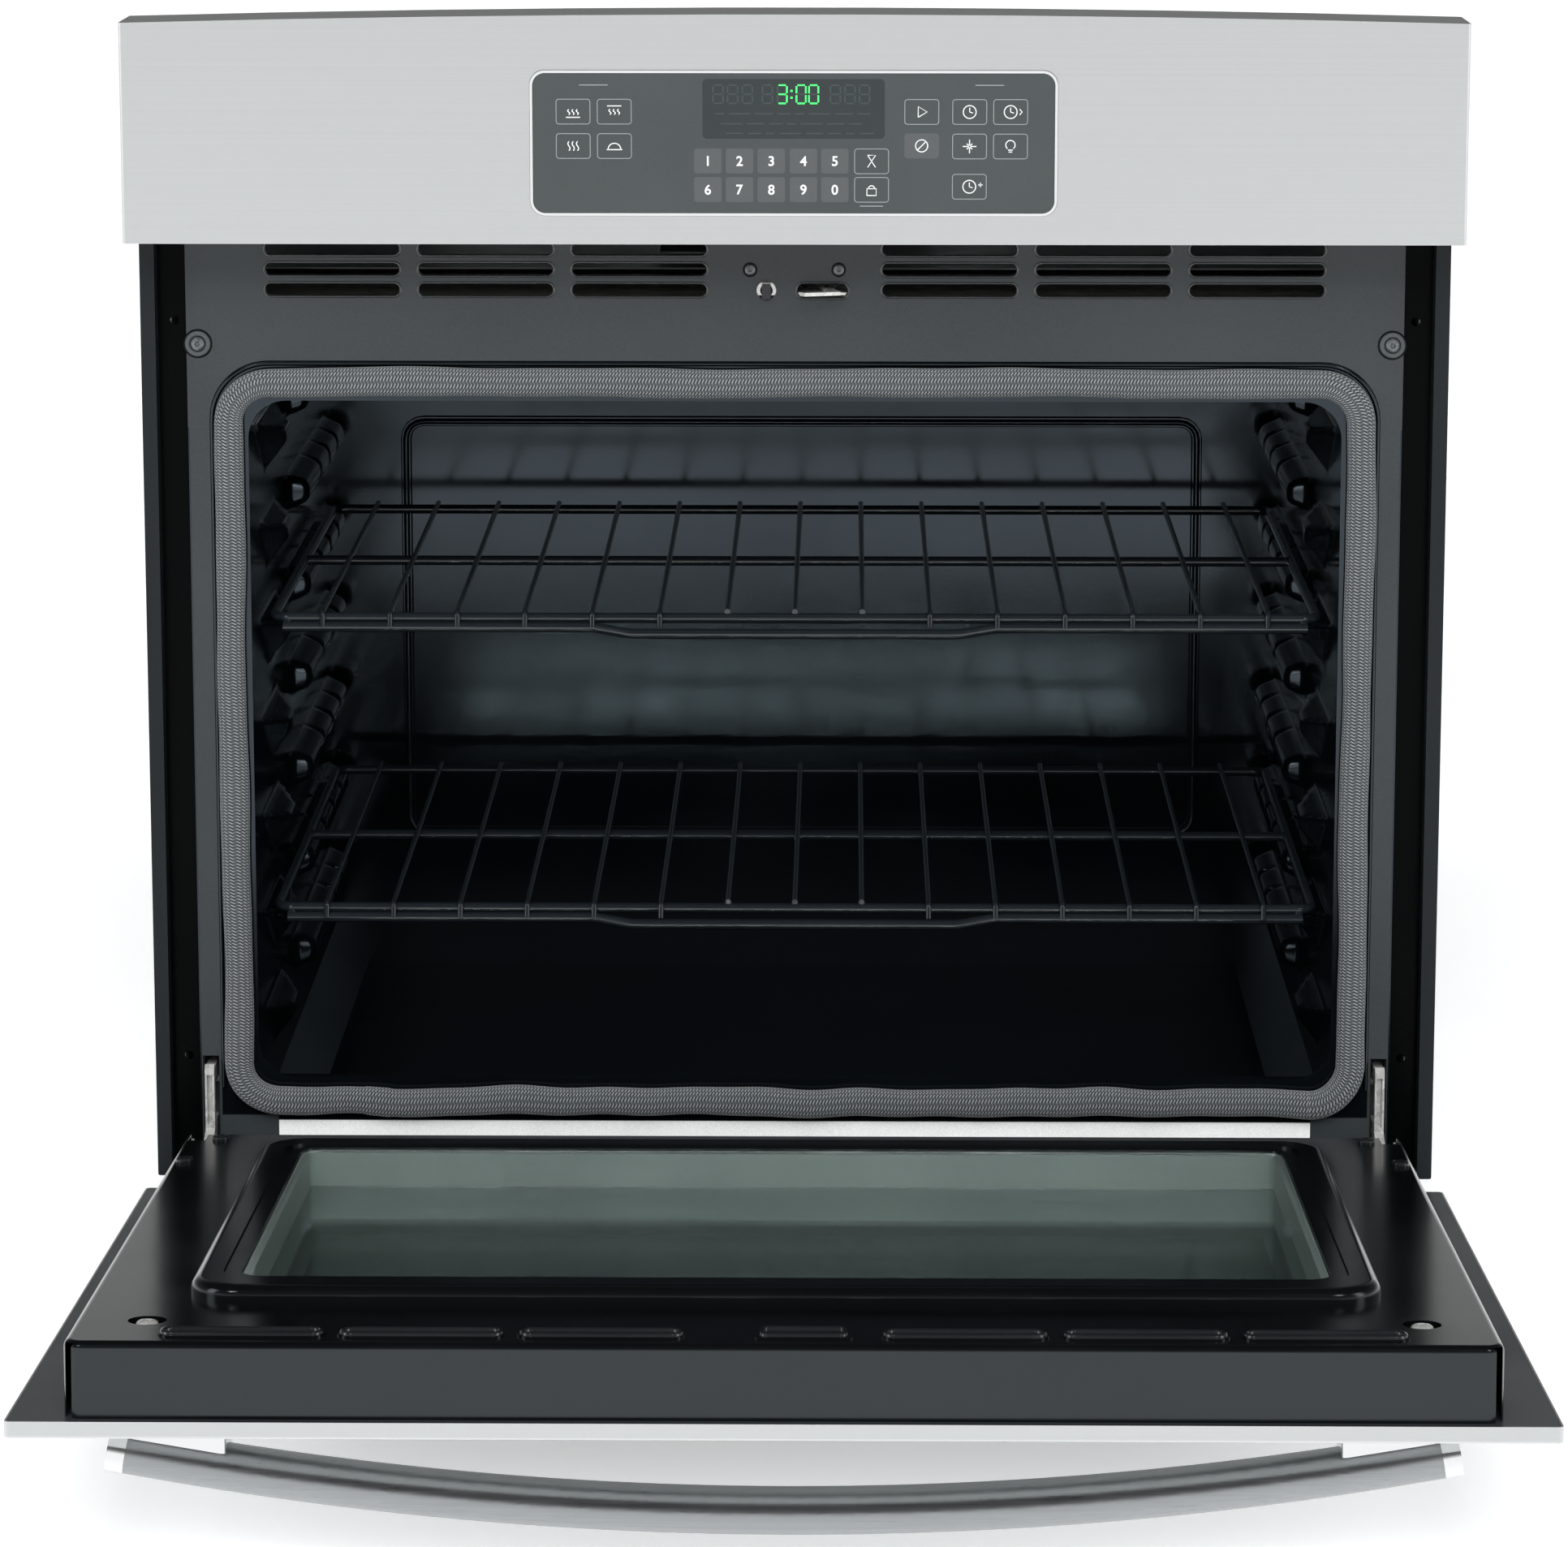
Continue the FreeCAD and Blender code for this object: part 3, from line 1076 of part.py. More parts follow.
def door_glass_outer():
    return rounded_plate(-OUTER_WIN_HALF - 15, OUTER_WIN_HALF + 15,
                         OUTER_WIN_LOW - 15, OUTER_WIN_HIGH + 15, 3, DOOR_Y + 1, DOOR_Y + 5)


def window_box():
    """Steel box that holds the panes apart."""
    y0, y1 = DOOR_Y + 5.2, LINER_Y - SHEET - 0.1
    outer = rounded_plate(-274.5, 274.5, 123.5, 450.5, 4, y0, y1)
    inner = rounded_plate(-271.2, 271.2, 126.8, 447.2, 3.2, y0 - 1, LINER_Y + 3)
    lip = rounded_plate(-WIN_HALF + 0.5, WIN_HALF - 0.5, WIN_LOW + 0.5, WIN_HIGH - 0.5, 11.5,
                        y1 - 1, LINER_Y + 2)
    return without(joined(outer, lip), inner)


def door_insulation():
    slab = box(-332, 332, DOOR_Y + 9, LINER_Y - 9, 62, 515)
    core = box(-275, 275, DOOR_Y, LINER_Y, 123, 451)
    return without(slab, core)


def door_screws():
    screws = []
    for side in (1, -1):
        x, z = side * POCKET[0], POCKET[1]
        screws.append(screw_facing_back(x, LINER_Y - 6.8, z, 5.4, 3.2, 6.0))
        for screw_x, screw_z in HINGE_SCREWS:
            screws.append(screw_facing_back(side * screw_x, LINER_Y, screw_z, 4.9, 2.8, 1.9))
    return screws


def screw_facing_back(x, y, z, radius, height, shank):
    """Screw whose domed head stands behind y, as on the inner side of the door."""
    screw = pan_head(x, 0, z, radius, height, shank)
    screw.rotate(V(x, 0, z), Z_AXIS, 180)
    screw.translate(V(0, y, 0))
    return screw


# ---- handle -------------------------------------------------------------------------
def handle_arc():
    """Radius, centre and half angle of the bowed centre line."""
    radius = (HANDLE_HALF ** 2 + HANDLE_BOW ** 2) / (2 * HANDLE_BOW)
    end_y = DOOR_Y - HANDLE_NEAR - HANDLE_DEEP / 2
    centre = V(0, end_y - HANDLE_BOW + radius, HANDLE_Z)
    return radius, centre, math.degrees(math.asin(HANDLE_HALF / radius))


def bowed_bar(deep, tall, from_angle, to_angle):
    radius, centre, _ = handle_arc()
    ellipse = Part.Ellipse(V(0, centre.y - radius, HANDLE_Z), tall / 2, deep / 2).toShape()
    ellipse.rotate(V(0, centre.y - radius, HANDLE_Z), Y_AXIS, 90)
    face = Part.Face(Part.Wire([ellipse]))
    face.rotate(centre, Z_AXIS, from_angle)
    return face.revolve(centre, Z_AXIS, to_angle - from_angle)


def handle_bar():
    radius, _, half_angle = handle_arc()
    end = half_angle - math.degrees(CAP_LEN / radius)
    outer = bowed_bar(HANDLE_DEEP, HANDLE_TALL, -end, end)
    inner = bowed_bar(HANDLE_DEEP - 4, HANDLE_TALL - 4, -end - 1, end + 1)
    return outer.cut(inner)


def handle_end_cap(side):
    radius, _, half_angle = handle_arc()
    start = half_angle - math.degrees(CAP_LEN / radius)
    low, high = (start, half_angle) if side > 0 else (-half_angle, -start)
    return bowed_bar(HANDLE_DEEP + 0.8, HANDLE_TALL + 0.8, low, high)


def handle_standoff():
    """Wedge between the door skin and the bar, cut to the curve of the bar."""
    half_angle = handle_arc()[2]
    x1 = HANDLE_HALF - CAP_LEN - 4
    x0 = x1 - STANDOFF_LEN + CAP_LEN
    depth0 = HANDLE_NEAR + 2.0 + HANDLE_BOW * (1 - (x0 / HANDLE_HALF) ** 2)
    depth1 = HANDLE_NEAR + 2.0 + HANDLE_BOW * (1 - (x1 / HANDLE_HALF) ** 2)
    z0 = HANDLE_Z - HANDLE_TALL / 2 - 1.5
    wedge = prism([
        (x0, DOOR_Y, z0), (x1, DOOR_Y, z0), (x1, DOOR_Y - depth1, z0), (x0, DOOR_Y - depth0, z0),
    ], V(0, 0, HANDLE_TALL + 3))
    inner_edges = [edge for edge in wedge.Edges
                   if edge.BoundBox.XLength < 0.01 and edge.BoundBox.ZLength < 0.01
                   and edge.CenterOfMass.x < x0 + 1]
    wedge = wedge.makeFillet(4.0, inner_edges)
    return wedge.cut(bowed_bar(HANDLE_DEEP + 0.2, HANDLE_TALL + 0.2, -half_angle, half_angle))


def handle_screws():
    screws = []
    for side in (1, -1):
        for z in (HANDLE_Z - 12.5, HANDLE_Z + 12.5):
            x = side * (HANDLE_HALF - 40)
            head = rod(3.5, (x, DOOR_Y + 1, z), (x, DOOR_Y + 3, z))
            screws.append(head)
    return screws


# ---- write every node ---------------------------------------------------------------
def main():
    os.makedirs("parts", exist_ok=True)
    export("base_pan", base_pan())
    export("side_panels", *both_sides(side_panel()))
    export("rear_panel", rear_panel())
    export("top_cover", top_cover())
    export("front_frame", front_frame())
    export("sill_plate", sill_plate())
    export("side_flanges", *both_sides(side_flange()))
    export("side_trims", *both_sides(side_trim()))
    export("bottom_trim", bottom_trim())
    export("control_fascia", control_fascia())
    export("control_bezel", control_bezel())
    export("control_glass", control_glass())
    export("display_module", display_module())
    export("circuit_boards", control_board(), touch_board())
    export("control_tray", control_tray())
    export("cavity_flange", cavity_flange())
    export("cavity_side_walls", *both_sides(cavity_side_wall()))
    export("cavity_rear_wall", cavity_rear_wall())
    export("cavity_ceiling", cavity_ceiling())
    export("cavity_floor", cavity_floor())
    export("insulation_blanket", insulation_blanket())
    export("bake_element", bake_element())
    export("broil_element", broil_element(), *broil_hangers())
    export("temperature_sensor", temperature_sensor())
    export("lamp_socket", lamp_socket())
    export("oven_lamp", oven_lamp())
    export("lamp_lens", lamp_lens())
    export("door_gasket", door_gasket())
    for name, z in RACK_Z.items():
        export(name, oven_rack(z))
    export("fan_rotor", fan_rotor())
    export("fan_housing", fan_housing())
    export("fan_motor", fan_motor())
    export("air_deck", air_deck())
    export("terminal_box", joined(terminal_box(), terminal_block()))
    export("latch_hook", latch_hook())
    export("latch_bracket", latch_bracket())
    export("latch_cam", latch_cam())
    export("latch_motor", latch_motor())
    export("switch_plunger", switch_plunger())
    export("switch_body", switch_body())
    export("switch_bracket", switch_bracket())
    export("frame_screws", *(frame_screws() + corner_washers()))
    export("hinge_arms", *both_sides(hinge_arm()))
    export("hinge_receivers", *both_sides(hinge_receiver()))
    export_door("hinge_bodies", *both_sides(hinge_body()))
    export_door("hinge_pins", *both_sides(hinge_pin()))
    export_door("spring_rods", *both_sides(spring_rod()))
    export_door("counter_springs", *both_sides(counter_spring()))
    export_door("door_skin", door_skin())
    export_door("door_frame", door_frame())
    export_door("door_liner", door_liner())
    export_door("door_glass_inner", door_glass_inner(), door_glass_middle())
    export_door("door_glass_outer", door_glass_outer())
    export_door("window_box", window_box())
    export_door("door_insulation", door_insulation())
    export_door("handle_bar", handle_bar())
    export_door("handle_end_caps", handle_end_cap(1), handle_end_cap(-1))
    export_door("handle_standoffs", *both_sides(handle_standoff()))
    export_door("door_screws", *(door_screws() + handle_screws()))


main()
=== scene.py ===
"""Looks for a built-in wall oven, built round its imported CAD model."""
import json
import math

import bpy
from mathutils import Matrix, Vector


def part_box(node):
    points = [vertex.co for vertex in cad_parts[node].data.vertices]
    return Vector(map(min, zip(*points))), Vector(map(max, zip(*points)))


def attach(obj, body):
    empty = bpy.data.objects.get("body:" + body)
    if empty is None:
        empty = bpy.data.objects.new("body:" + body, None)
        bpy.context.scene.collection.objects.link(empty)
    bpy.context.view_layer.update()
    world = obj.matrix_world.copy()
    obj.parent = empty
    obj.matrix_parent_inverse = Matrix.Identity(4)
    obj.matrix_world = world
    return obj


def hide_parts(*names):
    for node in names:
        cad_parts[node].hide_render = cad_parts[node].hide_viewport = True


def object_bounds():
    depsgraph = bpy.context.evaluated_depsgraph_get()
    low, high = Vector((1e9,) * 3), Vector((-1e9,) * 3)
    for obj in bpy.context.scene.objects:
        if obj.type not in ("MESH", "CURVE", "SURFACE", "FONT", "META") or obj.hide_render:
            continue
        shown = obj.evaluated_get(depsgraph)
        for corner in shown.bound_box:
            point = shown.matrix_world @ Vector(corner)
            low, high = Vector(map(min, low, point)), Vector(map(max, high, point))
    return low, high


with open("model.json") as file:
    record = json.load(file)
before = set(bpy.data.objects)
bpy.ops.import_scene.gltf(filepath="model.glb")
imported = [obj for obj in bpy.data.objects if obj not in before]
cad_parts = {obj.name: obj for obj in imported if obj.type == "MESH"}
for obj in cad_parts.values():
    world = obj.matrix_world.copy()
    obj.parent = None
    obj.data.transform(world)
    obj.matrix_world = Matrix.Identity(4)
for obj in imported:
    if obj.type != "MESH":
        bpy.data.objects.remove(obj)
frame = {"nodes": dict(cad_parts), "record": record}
nodes = frame["nodes"]
cad_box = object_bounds()


# ---- places on the object, in millimetres ---------------------------------------------
MM = 0.001
FRAME_Y = -289.0
FLANGE_Y = -288.0
PANEL_Y = -337.0
GLASS_Y = PANEL_Y - 0.4
LINER_Y = -298.0                    # inner face of the door when shut
PIVOT_Y, PIVOT_Z = -331.5, 30.0
REST_OPEN = math.radians(85.4)


# ---- node helpers -------------------------------------------------------------------
class Graph:
    """A material under construction, with short calls for the nodes used here."""

    def __init__(self, name):
        self.material = bpy.data.materials.new(name)
        self.material.use_nodes = True
        self.tree = self.material.node_tree
        self.tree.nodes.clear()
        self.coords = self.add("ShaderNodeTexCoord")

    def add(self, kind, **sockets):
        node = self.tree.nodes.new(kind)
        for key, value in sockets.items():
            self.put(node, key.replace("_", " "), value)
        return node

    def put(self, node, key, value):
        socket = node.inputs[key]
        if isinstance(value, bpy.types.NodeSocket):
            self.tree.links.new(value, socket)
        else:
            socket.default_value = value

    def place(self, scale, source="Object"):
        mapping = self.add("ShaderNodeMapping", Scale=scale)
        self.put(mapping, "Vector", self.coords.outputs[source])
        return mapping.outputs[0]

    def noise(self, vector, scale=1.0, detail=2.0, roughness=0.5):
        node = self.add("ShaderNodeTexNoise", Scale=scale, Detail=detail, Roughness=roughness)
        self.put(node, "Vector", vector)
        return node.outputs[0]

    def cells(self, vector, scale=1.0, output="Color"):
        node = self.add("ShaderNodeTexVoronoi", Scale=scale)
        self.put(node, "Vector", vector)
        return node.outputs[output]

    def span(self, value, low, high, start=0.0, end=1.0):
        node = self.add("ShaderNodeMapRange")
        self.put(node, "Value", value)
        for key, number in (("From Min", start), ("From Max", end), ("To Min", low), ("To Max", high)):
            node.inputs[key].default_value = number
        return node.outputs[0]

    def ramp(self, value, *stops):
        node = self.add("ShaderNodeValToRGB")
        self.put(node, "Fac", value)
        elements = node.color_ramp.elements
        while len(elements) < len(stops):
            elements.new(0.5)
        for element, (position, color) in zip(elements, stops):
            element.position = position
            element.color = (*color, 1.0)
        return node.outputs[0]

    def math(self, operation, a, b=0.0):
        node = self.add("ShaderNodeMath")
        node.operation = operation
        for socket, value in zip(node.inputs, (a, b)):
            if isinstance(value, bpy.types.NodeSocket):
                self.tree.links.new(value, socket)
            else:
                socket.default_value = value
        return node.outputs[0]

    def bump(self, height, distance, strength=1.0):
        node = self.add("ShaderNodeBump", Strength=strength, Distance=distance)
        self.put(node, "Height", height)
        return node.outputs[0]

    def finish(self, **sockets):
        shader = self.add("ShaderNodeBsdfPrincipled")
        for key, value in sockets.items():
            key = key.replace("_", " ")
            if isinstance(value, tuple) and len(value) == 3:
                value = (*value, 1.0)
            self.put(shader, key, value)
        output = self.add("ShaderNodeOutputMaterial")
        self.tree.links.new(shader.outputs[0], output.inputs[0])
        return self.material


# ---- materials ----------------------------------------------------------------------
PEEL_SCALE = 420.0
GLASS_ROUGHNESS = 0.01
STITCH_LENGTH, STITCH_ROW = 0.0019, 0.0026


def brushed_steel(name, color, roughness, streaks=0.10, grain_x=1.6):
    """Stainless steel brushed along X: long fine scratches over broader bands."""
    g = Graph(name)
    fine = g.noise(g.place((grain_x, 1600.0, 1600.0)), 1.0, 3.0, 0.6)
    coarse = g.noise(g.place((grain_x * 0.6, 420.0, 420.0)), 1.0, 2.0, 0.5)
    both = g.math("ADD", g.math("MULTIPLY", fine, 0.65), g.math("MULTIPLY", coarse, 0.35))
    dark = tuple(c * (1 - streaks) for c in color)
    light = tuple(min(1.0, c * (1 + streaks)) for c in color)
    return g.finish(
        Base_Color=g.ramp(both, (0.3, dark), (0.7, light)), Metallic=1.0,
        Roughness=g.span(both, roughness - 0.04, roughness + 0.05, 0.3, 0.7),
        Normal=g.bump(fine, 0.000006, 0.4))


def sheet_metal(name, color, roughness, spangle_scale=70.0, metallic=1.0):
    """Zinc-coated sheet: faint crystal spangle, fine grain and dull patches."""
    g = Graph(name)
    spangle = g.cells(g.place((spangle_scale,) * 3))
    patches = g.noise(g.place((6.0,) * 3), 1.0, 4.0)
    grain = g.noise(g.place((260.0,) * 3), 1.0, 3.0)
    tone = g.math("ADD", g.math("MULTIPLY", spangle, 0.6), g.math("MULTIPLY", patches, 0.4))
    dark = tuple(c * 0.80 for c in color)
    light = tuple(min(1.0, c * 1.12) for c in color)
    return g.finish(
        Base_Color=g.ramp(tone, (0.2, dark), (0.8, light)), Metallic=metallic,
        Roughness=g.span(tone, roughness - 0.08, roughness + 0.10, 0.2, 0.8),
        Normal=g.bump(grain, 0.00004, 0.35))


def enamel(name, color, roughness, speck=0.0, peel=0.00004, coat=0.0, specular=0.5,
           tint=(1.0, 1.0, 1.0)):
    """Fired or baked enamel: orange peel, fine pits and a little unevenness."""
    g = Graph(name)
    wide = g.noise(g.place((9.0,) * 3), 1.0, 3.0)
    ripple = g.noise(g.place((PEEL_SCALE,) * 3), 1.0, 2.0)
    pits = g.noise(g.place((1500.0,) * 3), 1.0, 1.0)
    dark = tuple(c * 0.82 for c in color)
    light = tuple(c * 1.18 + speck for c in color)
    tone = g.math("ADD", g.math("MULTIPLY", wide, 0.5), g.math("MULTIPLY", pits, 0.5))
    return g.finish(
        Base_Color=g.ramp(tone, (0.3, dark), (0.75, light)),
        Roughness=g.span(wide, roughness - 0.03, roughness + 0.05, 0.3, 0.7),
        Normal=g.bump(ripple, peel, 0.5), Coat_Weight=coat, Coat_Roughness=0.10,
        Specular_IOR_Level=specular, Specular_Tint=tint)


def printed(name, color, roughness=0.5, glow=0.0):
    """Screen-printed ink, or a lit display segment."""
    g = Graph(name)
    speck = g.noise(g.place((2500.0,) * 3), 1.0, 2.0)
    dark = tuple(c * 0.86 for c in color)
    tone = g.ramp(speck, (0.3, dark), (0.7, color))
    if glow:
        return g.finish(Base_Color=tone, Roughness=roughness, Emission_Color=tone, Emission_Strength=glow)
    return g.finish(Base_Color=tone, Roughness=roughness)


def braided(name):
    """Knitted glass fibre: rows of small stitches along the tube, with stray bright threads."""
    g = Graph(name)
    along = g.place((1.0, 1.0, 1.0), "UV")
    split = g.add("ShaderNodeSeparateXYZ")
    g.put(split, "Vector", along)
    stitch = 2 * math.pi / STITCH_LENGTH
    row = 2 * math.pi / STITCH_ROW
    u = g.math("MULTIPLY", split.outputs[0], stitch)
    v = g.math("MULTIPLY", split.outputs[1], row)
    lean = g.math("MULTIPLY", g.math("SINE", v), 1.4)
    rib = g.math("ABSOLUTE", g.math("SINE", g.math("MULTIPLY", v, 0.5)))
    knit = g.math("MULTIPLY", g.math("SINE", g.math("ADD", u, lean)), rib)
    knit = g.span(knit, 0.0, 1.0, -1.0, 1.0)
    fuzz = g.noise(g.place((1400.0,) * 3), 1.0, 3.0, 0.7)
    wide = g.noise(g.place((40.0,) * 3), 1.0, 3.0)
    tone = g.math("ADD", g.math("MULTIPLY", knit, 0.62), g.math("MULTIPLY", fuzz, 0.38))
    color = g.ramp(tone, (0.22, (0.014, 0.016, 0.018)), (0.55, (0.078, 0.087, 0.092)),
                   (0.80, (0.33, 0.34, 0.35)))
    return g.finish(Base_Color=color, Roughness=g.span(wide, 0.72, 0.92, 0.3, 0.7),
                    Normal=g.bump(tone, 0.0004, 0.8), Sheen_Weight=0.25, Sheen_Roughness=0.4)


def mineral_wool(name):
    """Matted grey-brown fibres in tufts."""
    g = Graph(name)
    strands = g.noise(g.place((60.0, 60.0, 420.0)), 1.0, 6.0, 0.7)
    tufts = g.cells(g.place((120.0,) * 3), 1.0, "Distance")
    tone = g.math("ADD", g.math("MULTIPLY", strands, 0.7), g.math("MULTIPLY", tufts, 0.3))
    return g.finish(Base_Color=g.ramp(tone, (0.2, (0.10, 0.095, 0.085)), (0.8, (0.34, 0.33, 0.30))),
                    Roughness=0.95, Normal=g.bump(tone, 0.003, 0.8))


def clear_glass(name, color):
    """Clear glass with faint smears."""
    g = Graph(name)
    smear = g.noise(g.place((14.0,) * 3), 1.0, 3.0)
    haze = g.span(smear, GLASS_ROUGHNESS, GLASS_ROUGHNESS + 0.03, 0.4, 0.7)
    return g.finish(Base_Color=color, Roughness=haze, Transmission_Weight=1.0, IOR=1.5)


BLUE_SHEEN = (0.72, 0.87, 1.0)
GREEN_SHEEN = (0.86, 0.96, 1.0)
cavity_black = enamel("cavity_black", (0.0014, 0.0022, 0.0028), 0.13, speck=0.001, peel=0.000014,
                      specular=0.72, tint=BLUE_SHEEN)
liner_black = enamel("liner_black", (0.0016, 0.0021, 0.0023), 0.17, speck=0.001, peel=0.00001,
                     specular=0.62, tint=GREEN_SHEEN)
bead_black = enamel("bead_black", (0.009, 0.011, 0.013), 0.24, peel=0.00001, specular=1.0,
                    tint=BLUE_SHEEN)
rim_black = enamel("rim_black", (0.008, 0.010, 0.011), 0.22, peel=0.00001, specular=1.0)
# Near-black with little reflection: painted shade on the low rings round the frame screws and washers, for
# their shadow gaps. The ledge in the door-switch hole is drawn in it as well.
painted_shade_and_ledge_black = enamel("painted_shade_and_ledge_black", (0.0012, 0.0015, 0.0016), 0.35, peel=0.00001, specular=0.2)
screw_sheen = sheet_metal("screw_sheen", (0.16, 0.17, 0.175), 0.28, 300.0, metallic=0.6)
washer_grey = enamel("washer_grey", (0.060, 0.068, 0.071), 0.36, speck=0.004)
# Near-black with almost no reflection: painted shade for the side flanges, which lie deep in the shadowed
# channel beside the front frame.
flange_painted_shade = enamel("flange_painted_shade", (0.0010, 0.0013, 0.0014), 0.20, peel=0.00002, specular=0.04)
sill_white = enamel("sill_pale", (0.86, 0.87, 0.865), 0.38, peel=0.00002)
# The window box between the door panes is galvanised sheet, but is given a pale green-grey: painted light,
# standing for the light that the glass panes keep from reaching it.
window_box_painted_light = enamel("window_box_painted_light", (0.74, 0.82, 0.80), 0.45)
ink_white = printed("ink_white", (0.82, 0.84, 0.84))
ink_grey = printed("ink_grey", (0.30, 0.32, 0.325))
patch_grey = printed("patch_grey", (0.080, 0.088, 0.091), 0.35)
display_black = printed("display_black", (0.018, 0.025, 0.027), 0.25)
segment_dim = printed("segment_dim", (0.040, 0.055, 0.055), 0.4)
segment_green = printed("segment_green", (0.05, 0.85, 0.14), 0.4, 0.9)
braid = braided("seal_braid")

# Galvanised sheet and zinc are only partly metallic, so that the overhead sun, which
# reflections don't see, still lights them. The sill plate, the one part in bright_steel,
# is pale and matt.
looks = {
    "galvanised_sheet": sheet_metal("galvanised", (0.42, 0.44, 0.45), 0.42, metallic=0.5),
    "stainless_front": brushed_steel("stainless", (0.655, 0.67, 0.668), 0.36, 0.035),
    "frame_enamel": enamel("frame_grey", (0.026, 0.032, 0.035), 0.42, speck=0.007),
    "cavity_enamel": cavity_black,
    "trim_paint": enamel("trim_black", (0.007, 0.010, 0.012), 0.4, speck=0.003, specular=0.25),
    "bright_steel": sill_white,
    "polished_metal": brushed_steel("polished", (0.74, 0.75, 0.75), 0.16, 0.03),
    "bright_bezel": brushed_steel("bezel", (0.80, 0.81, 0.81), 0.14, 0.02),
    "control_glass": enamel("control_glass", (0.050, 0.058, 0.060), 0.34, peel=0.0, speck=0.004,
                            specular=0.4),
    "circuit_board": enamel("board_green", (0.02, 0.12, 0.05), 0.5),
    "display": enamel("display_face", (0.015, 0.02, 0.022), 0.2),
    "mineral_wool": mineral_wool("wool"),
    "heating_rod": enamel("element_sheath", (0.04, 0.042, 0.044), 0.5, peel=0.0001),
    "rack_steel": enamel("rack_black", (0.008, 0.011, 0.014), 0.16, coat=0.6, peel=0.0),
    "gasket_braid": braid,
    "ceramic": enamel("ceramic_glaze", (0.80, 0.78, 0.72), 0.4),
    "lamp_glass": clear_glass("lamp_glass", (0.93, 0.94, 0.93)),
    "fan_metal": sheet_metal("fan_metal", (0.6, 0.61, 0.62), 0.35, 200.0),
    "motor_black": enamel("motor_black", (0.02, 0.02, 0.02), 0.4),
    "zinc_steel": sheet_metal("zinc", (0.72, 0.72, 0.70), 0.26, 240.0, metallic=0.6),
    "switch_plastic": enamel("switch_plastic", (0.02, 0.02, 0.022), 0.45),
    "screw_black": enamel("screw_black", (0.008, 0.010, 0.011), 0.22),
    "spring_steel": sheet_metal("spring_steel", (0.3, 0.3, 0.31), 0.35, 400.0),
    "door_glass": clear_glass("door_glass", (0.90, 0.96, 0.94)),
    "dark_glass": enamel("dark_glass", (0.040, 0.054, 0.052), 0.05, peel=0.0),
    "brushed_bar": brushed_steel("handle_steel", (0.31, 0.322, 0.327), 0.30, 0.10, 3.0),
}

NODE_LOOKS = {"side_flanges": flange_painted_shade, "door_liner": liner_black, "window_box": window_box_painted_light}


# ---- mesh helpers -------------------------------------------------------------------
def piece(name, points, faces, material, slot, body="chassis", smooth=True, uv=None):
    """One mesh object from points in millimetres, riding on a CAD body."""
    mesh = bpy.data.meshes.new(name)
    mesh.from_pydata([tuple(c * MM for c in point) for point in points], [], faces)
    mesh.polygons.foreach_set("use_smooth", [smooth] * len(mesh.polygons))
    if uv is not None:
        layer = mesh.uv_layers.new(name="UVMap")
        for loop in mesh.loops:
            layer.data[loop.index].uv = uv[loop.vertex_index]
    mesh.materials.append(material)
    mesh.update()
    made = bpy.data.objects.new(name, mesh)
    bpy.context.scene.collection.objects.link(made)
    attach(made, body)
    return made


def grid_faces(rows, columns, close_rows=False, close_columns=False):
    faces = []
    for r in range(rows if close_rows else rows - 1):
        for c in range(columns if close_columns else columns - 1):
            r1 = (r + 1) % rows
            c1 = (c + 1) % columns
            faces.append((r * columns + c, r * columns + c1, r1 * columns + c1, r1 * columns + c))
    return faces


def turned_over(faces):
    return [tuple(reversed(face)) for face in faces]


def rounded_loop(half, low, high, radius, step):
    """Points and outward normals round an upright rounded rectangle, anticlockwise from the front."""
    corners = ((half - radius, low + radius, -90), (half - radius, high - radius, 0),
               (-half + radius, high - radius, 90), (-half + radius, low + radius, 180))
    points, normals = [], []
    for index, (cx, cz, start) in enumerate(corners):
        count = max(4, int(radius * math.pi / 2 / step))
        for k in range(count + 1):
            a = math.radians(start + 90.0 * k / count)
            points.append((cx + radius * math.cos(a), cz + radius * math.sin(a)))
            normals.append((math.cos(a), math.sin(a)))
        nx, nz, _ = corners[(index + 1) % 4]
        a = math.radians(start + 90)
        following = (nx + radius * math.cos(a), nz + radius * math.sin(a))
        here = points[-1]
        length = math.dist(here, following)
        runs = max(1, int(length / step))
        for k in range(1, runs):
            t = k / runs
            points.append((here[0] + (following[0] - here[0]) * t, here[1] + (following[1] - here[1]) * t))
            normals.append(normals[-1])
    return points, normals


def sweep(loop, y, profile, closed=True):
    """Sweep a profile of (outward, forward) offsets round a loop."""
    points, normals = loop
    vertices = []
    for (x, z), (nx, nz) in zip(points, normals):
        for out, forward in profile:
            vertices.append((x + nx * out, y - forward, z + nz * out))
    return vertices, grid_faces(len(points), len(profile), closed, False)


def half_round(radius, sides=8, height=None):
    height = radius if height is None else height
    return [(-radius * math.cos(math.pi * k / sides), height * math.sin(math.pi * k / sides))
            for k in range(sides + 1)]


def gather(parts):
    """Several (points, faces) lists as one."""
    points, faces = [], []
    for more_points, more_faces in parts:
        base = len(points)
        points += list(more_points)
        faces += [tuple(base + i for i in face) for face in more_faces]
    return points, faces


# ---- control panel graphics: flat shapes as lists of polygons in (x, z) ---------------
def rounded_outline(x, z, width, height, radius, sides=5):
    """Corner points of a rounded rectangle about (x, z), anticlockwise from the front."""
    across, up = width / 2 - radius, height / 2 - radius
    outline = []
    for cx, cz, start in ((across, -up, -90), (across, up, 0), (-across, up, 90), (-across, -up, 180)):
        for k in range(sides + 1):
            a = math.radians(start + 90.0 * k / sides)
            outline.append((x + cx + radius * math.cos(a), z + cz + radius * math.sin(a)))
    return outline


def filled(outline, y):
    return [(x, y, z) for x, z in outline], [tuple(range(len(outline)))]


def outlined(outline, inner, y):
    points = [(x, y, z) for x, z in outline] + [(x, y, z) for x, z in inner]
    n = len(outline)
    return points, [(k, (k + 1) % n, n + (k + 1) % n, n + k) for k in range(n)]


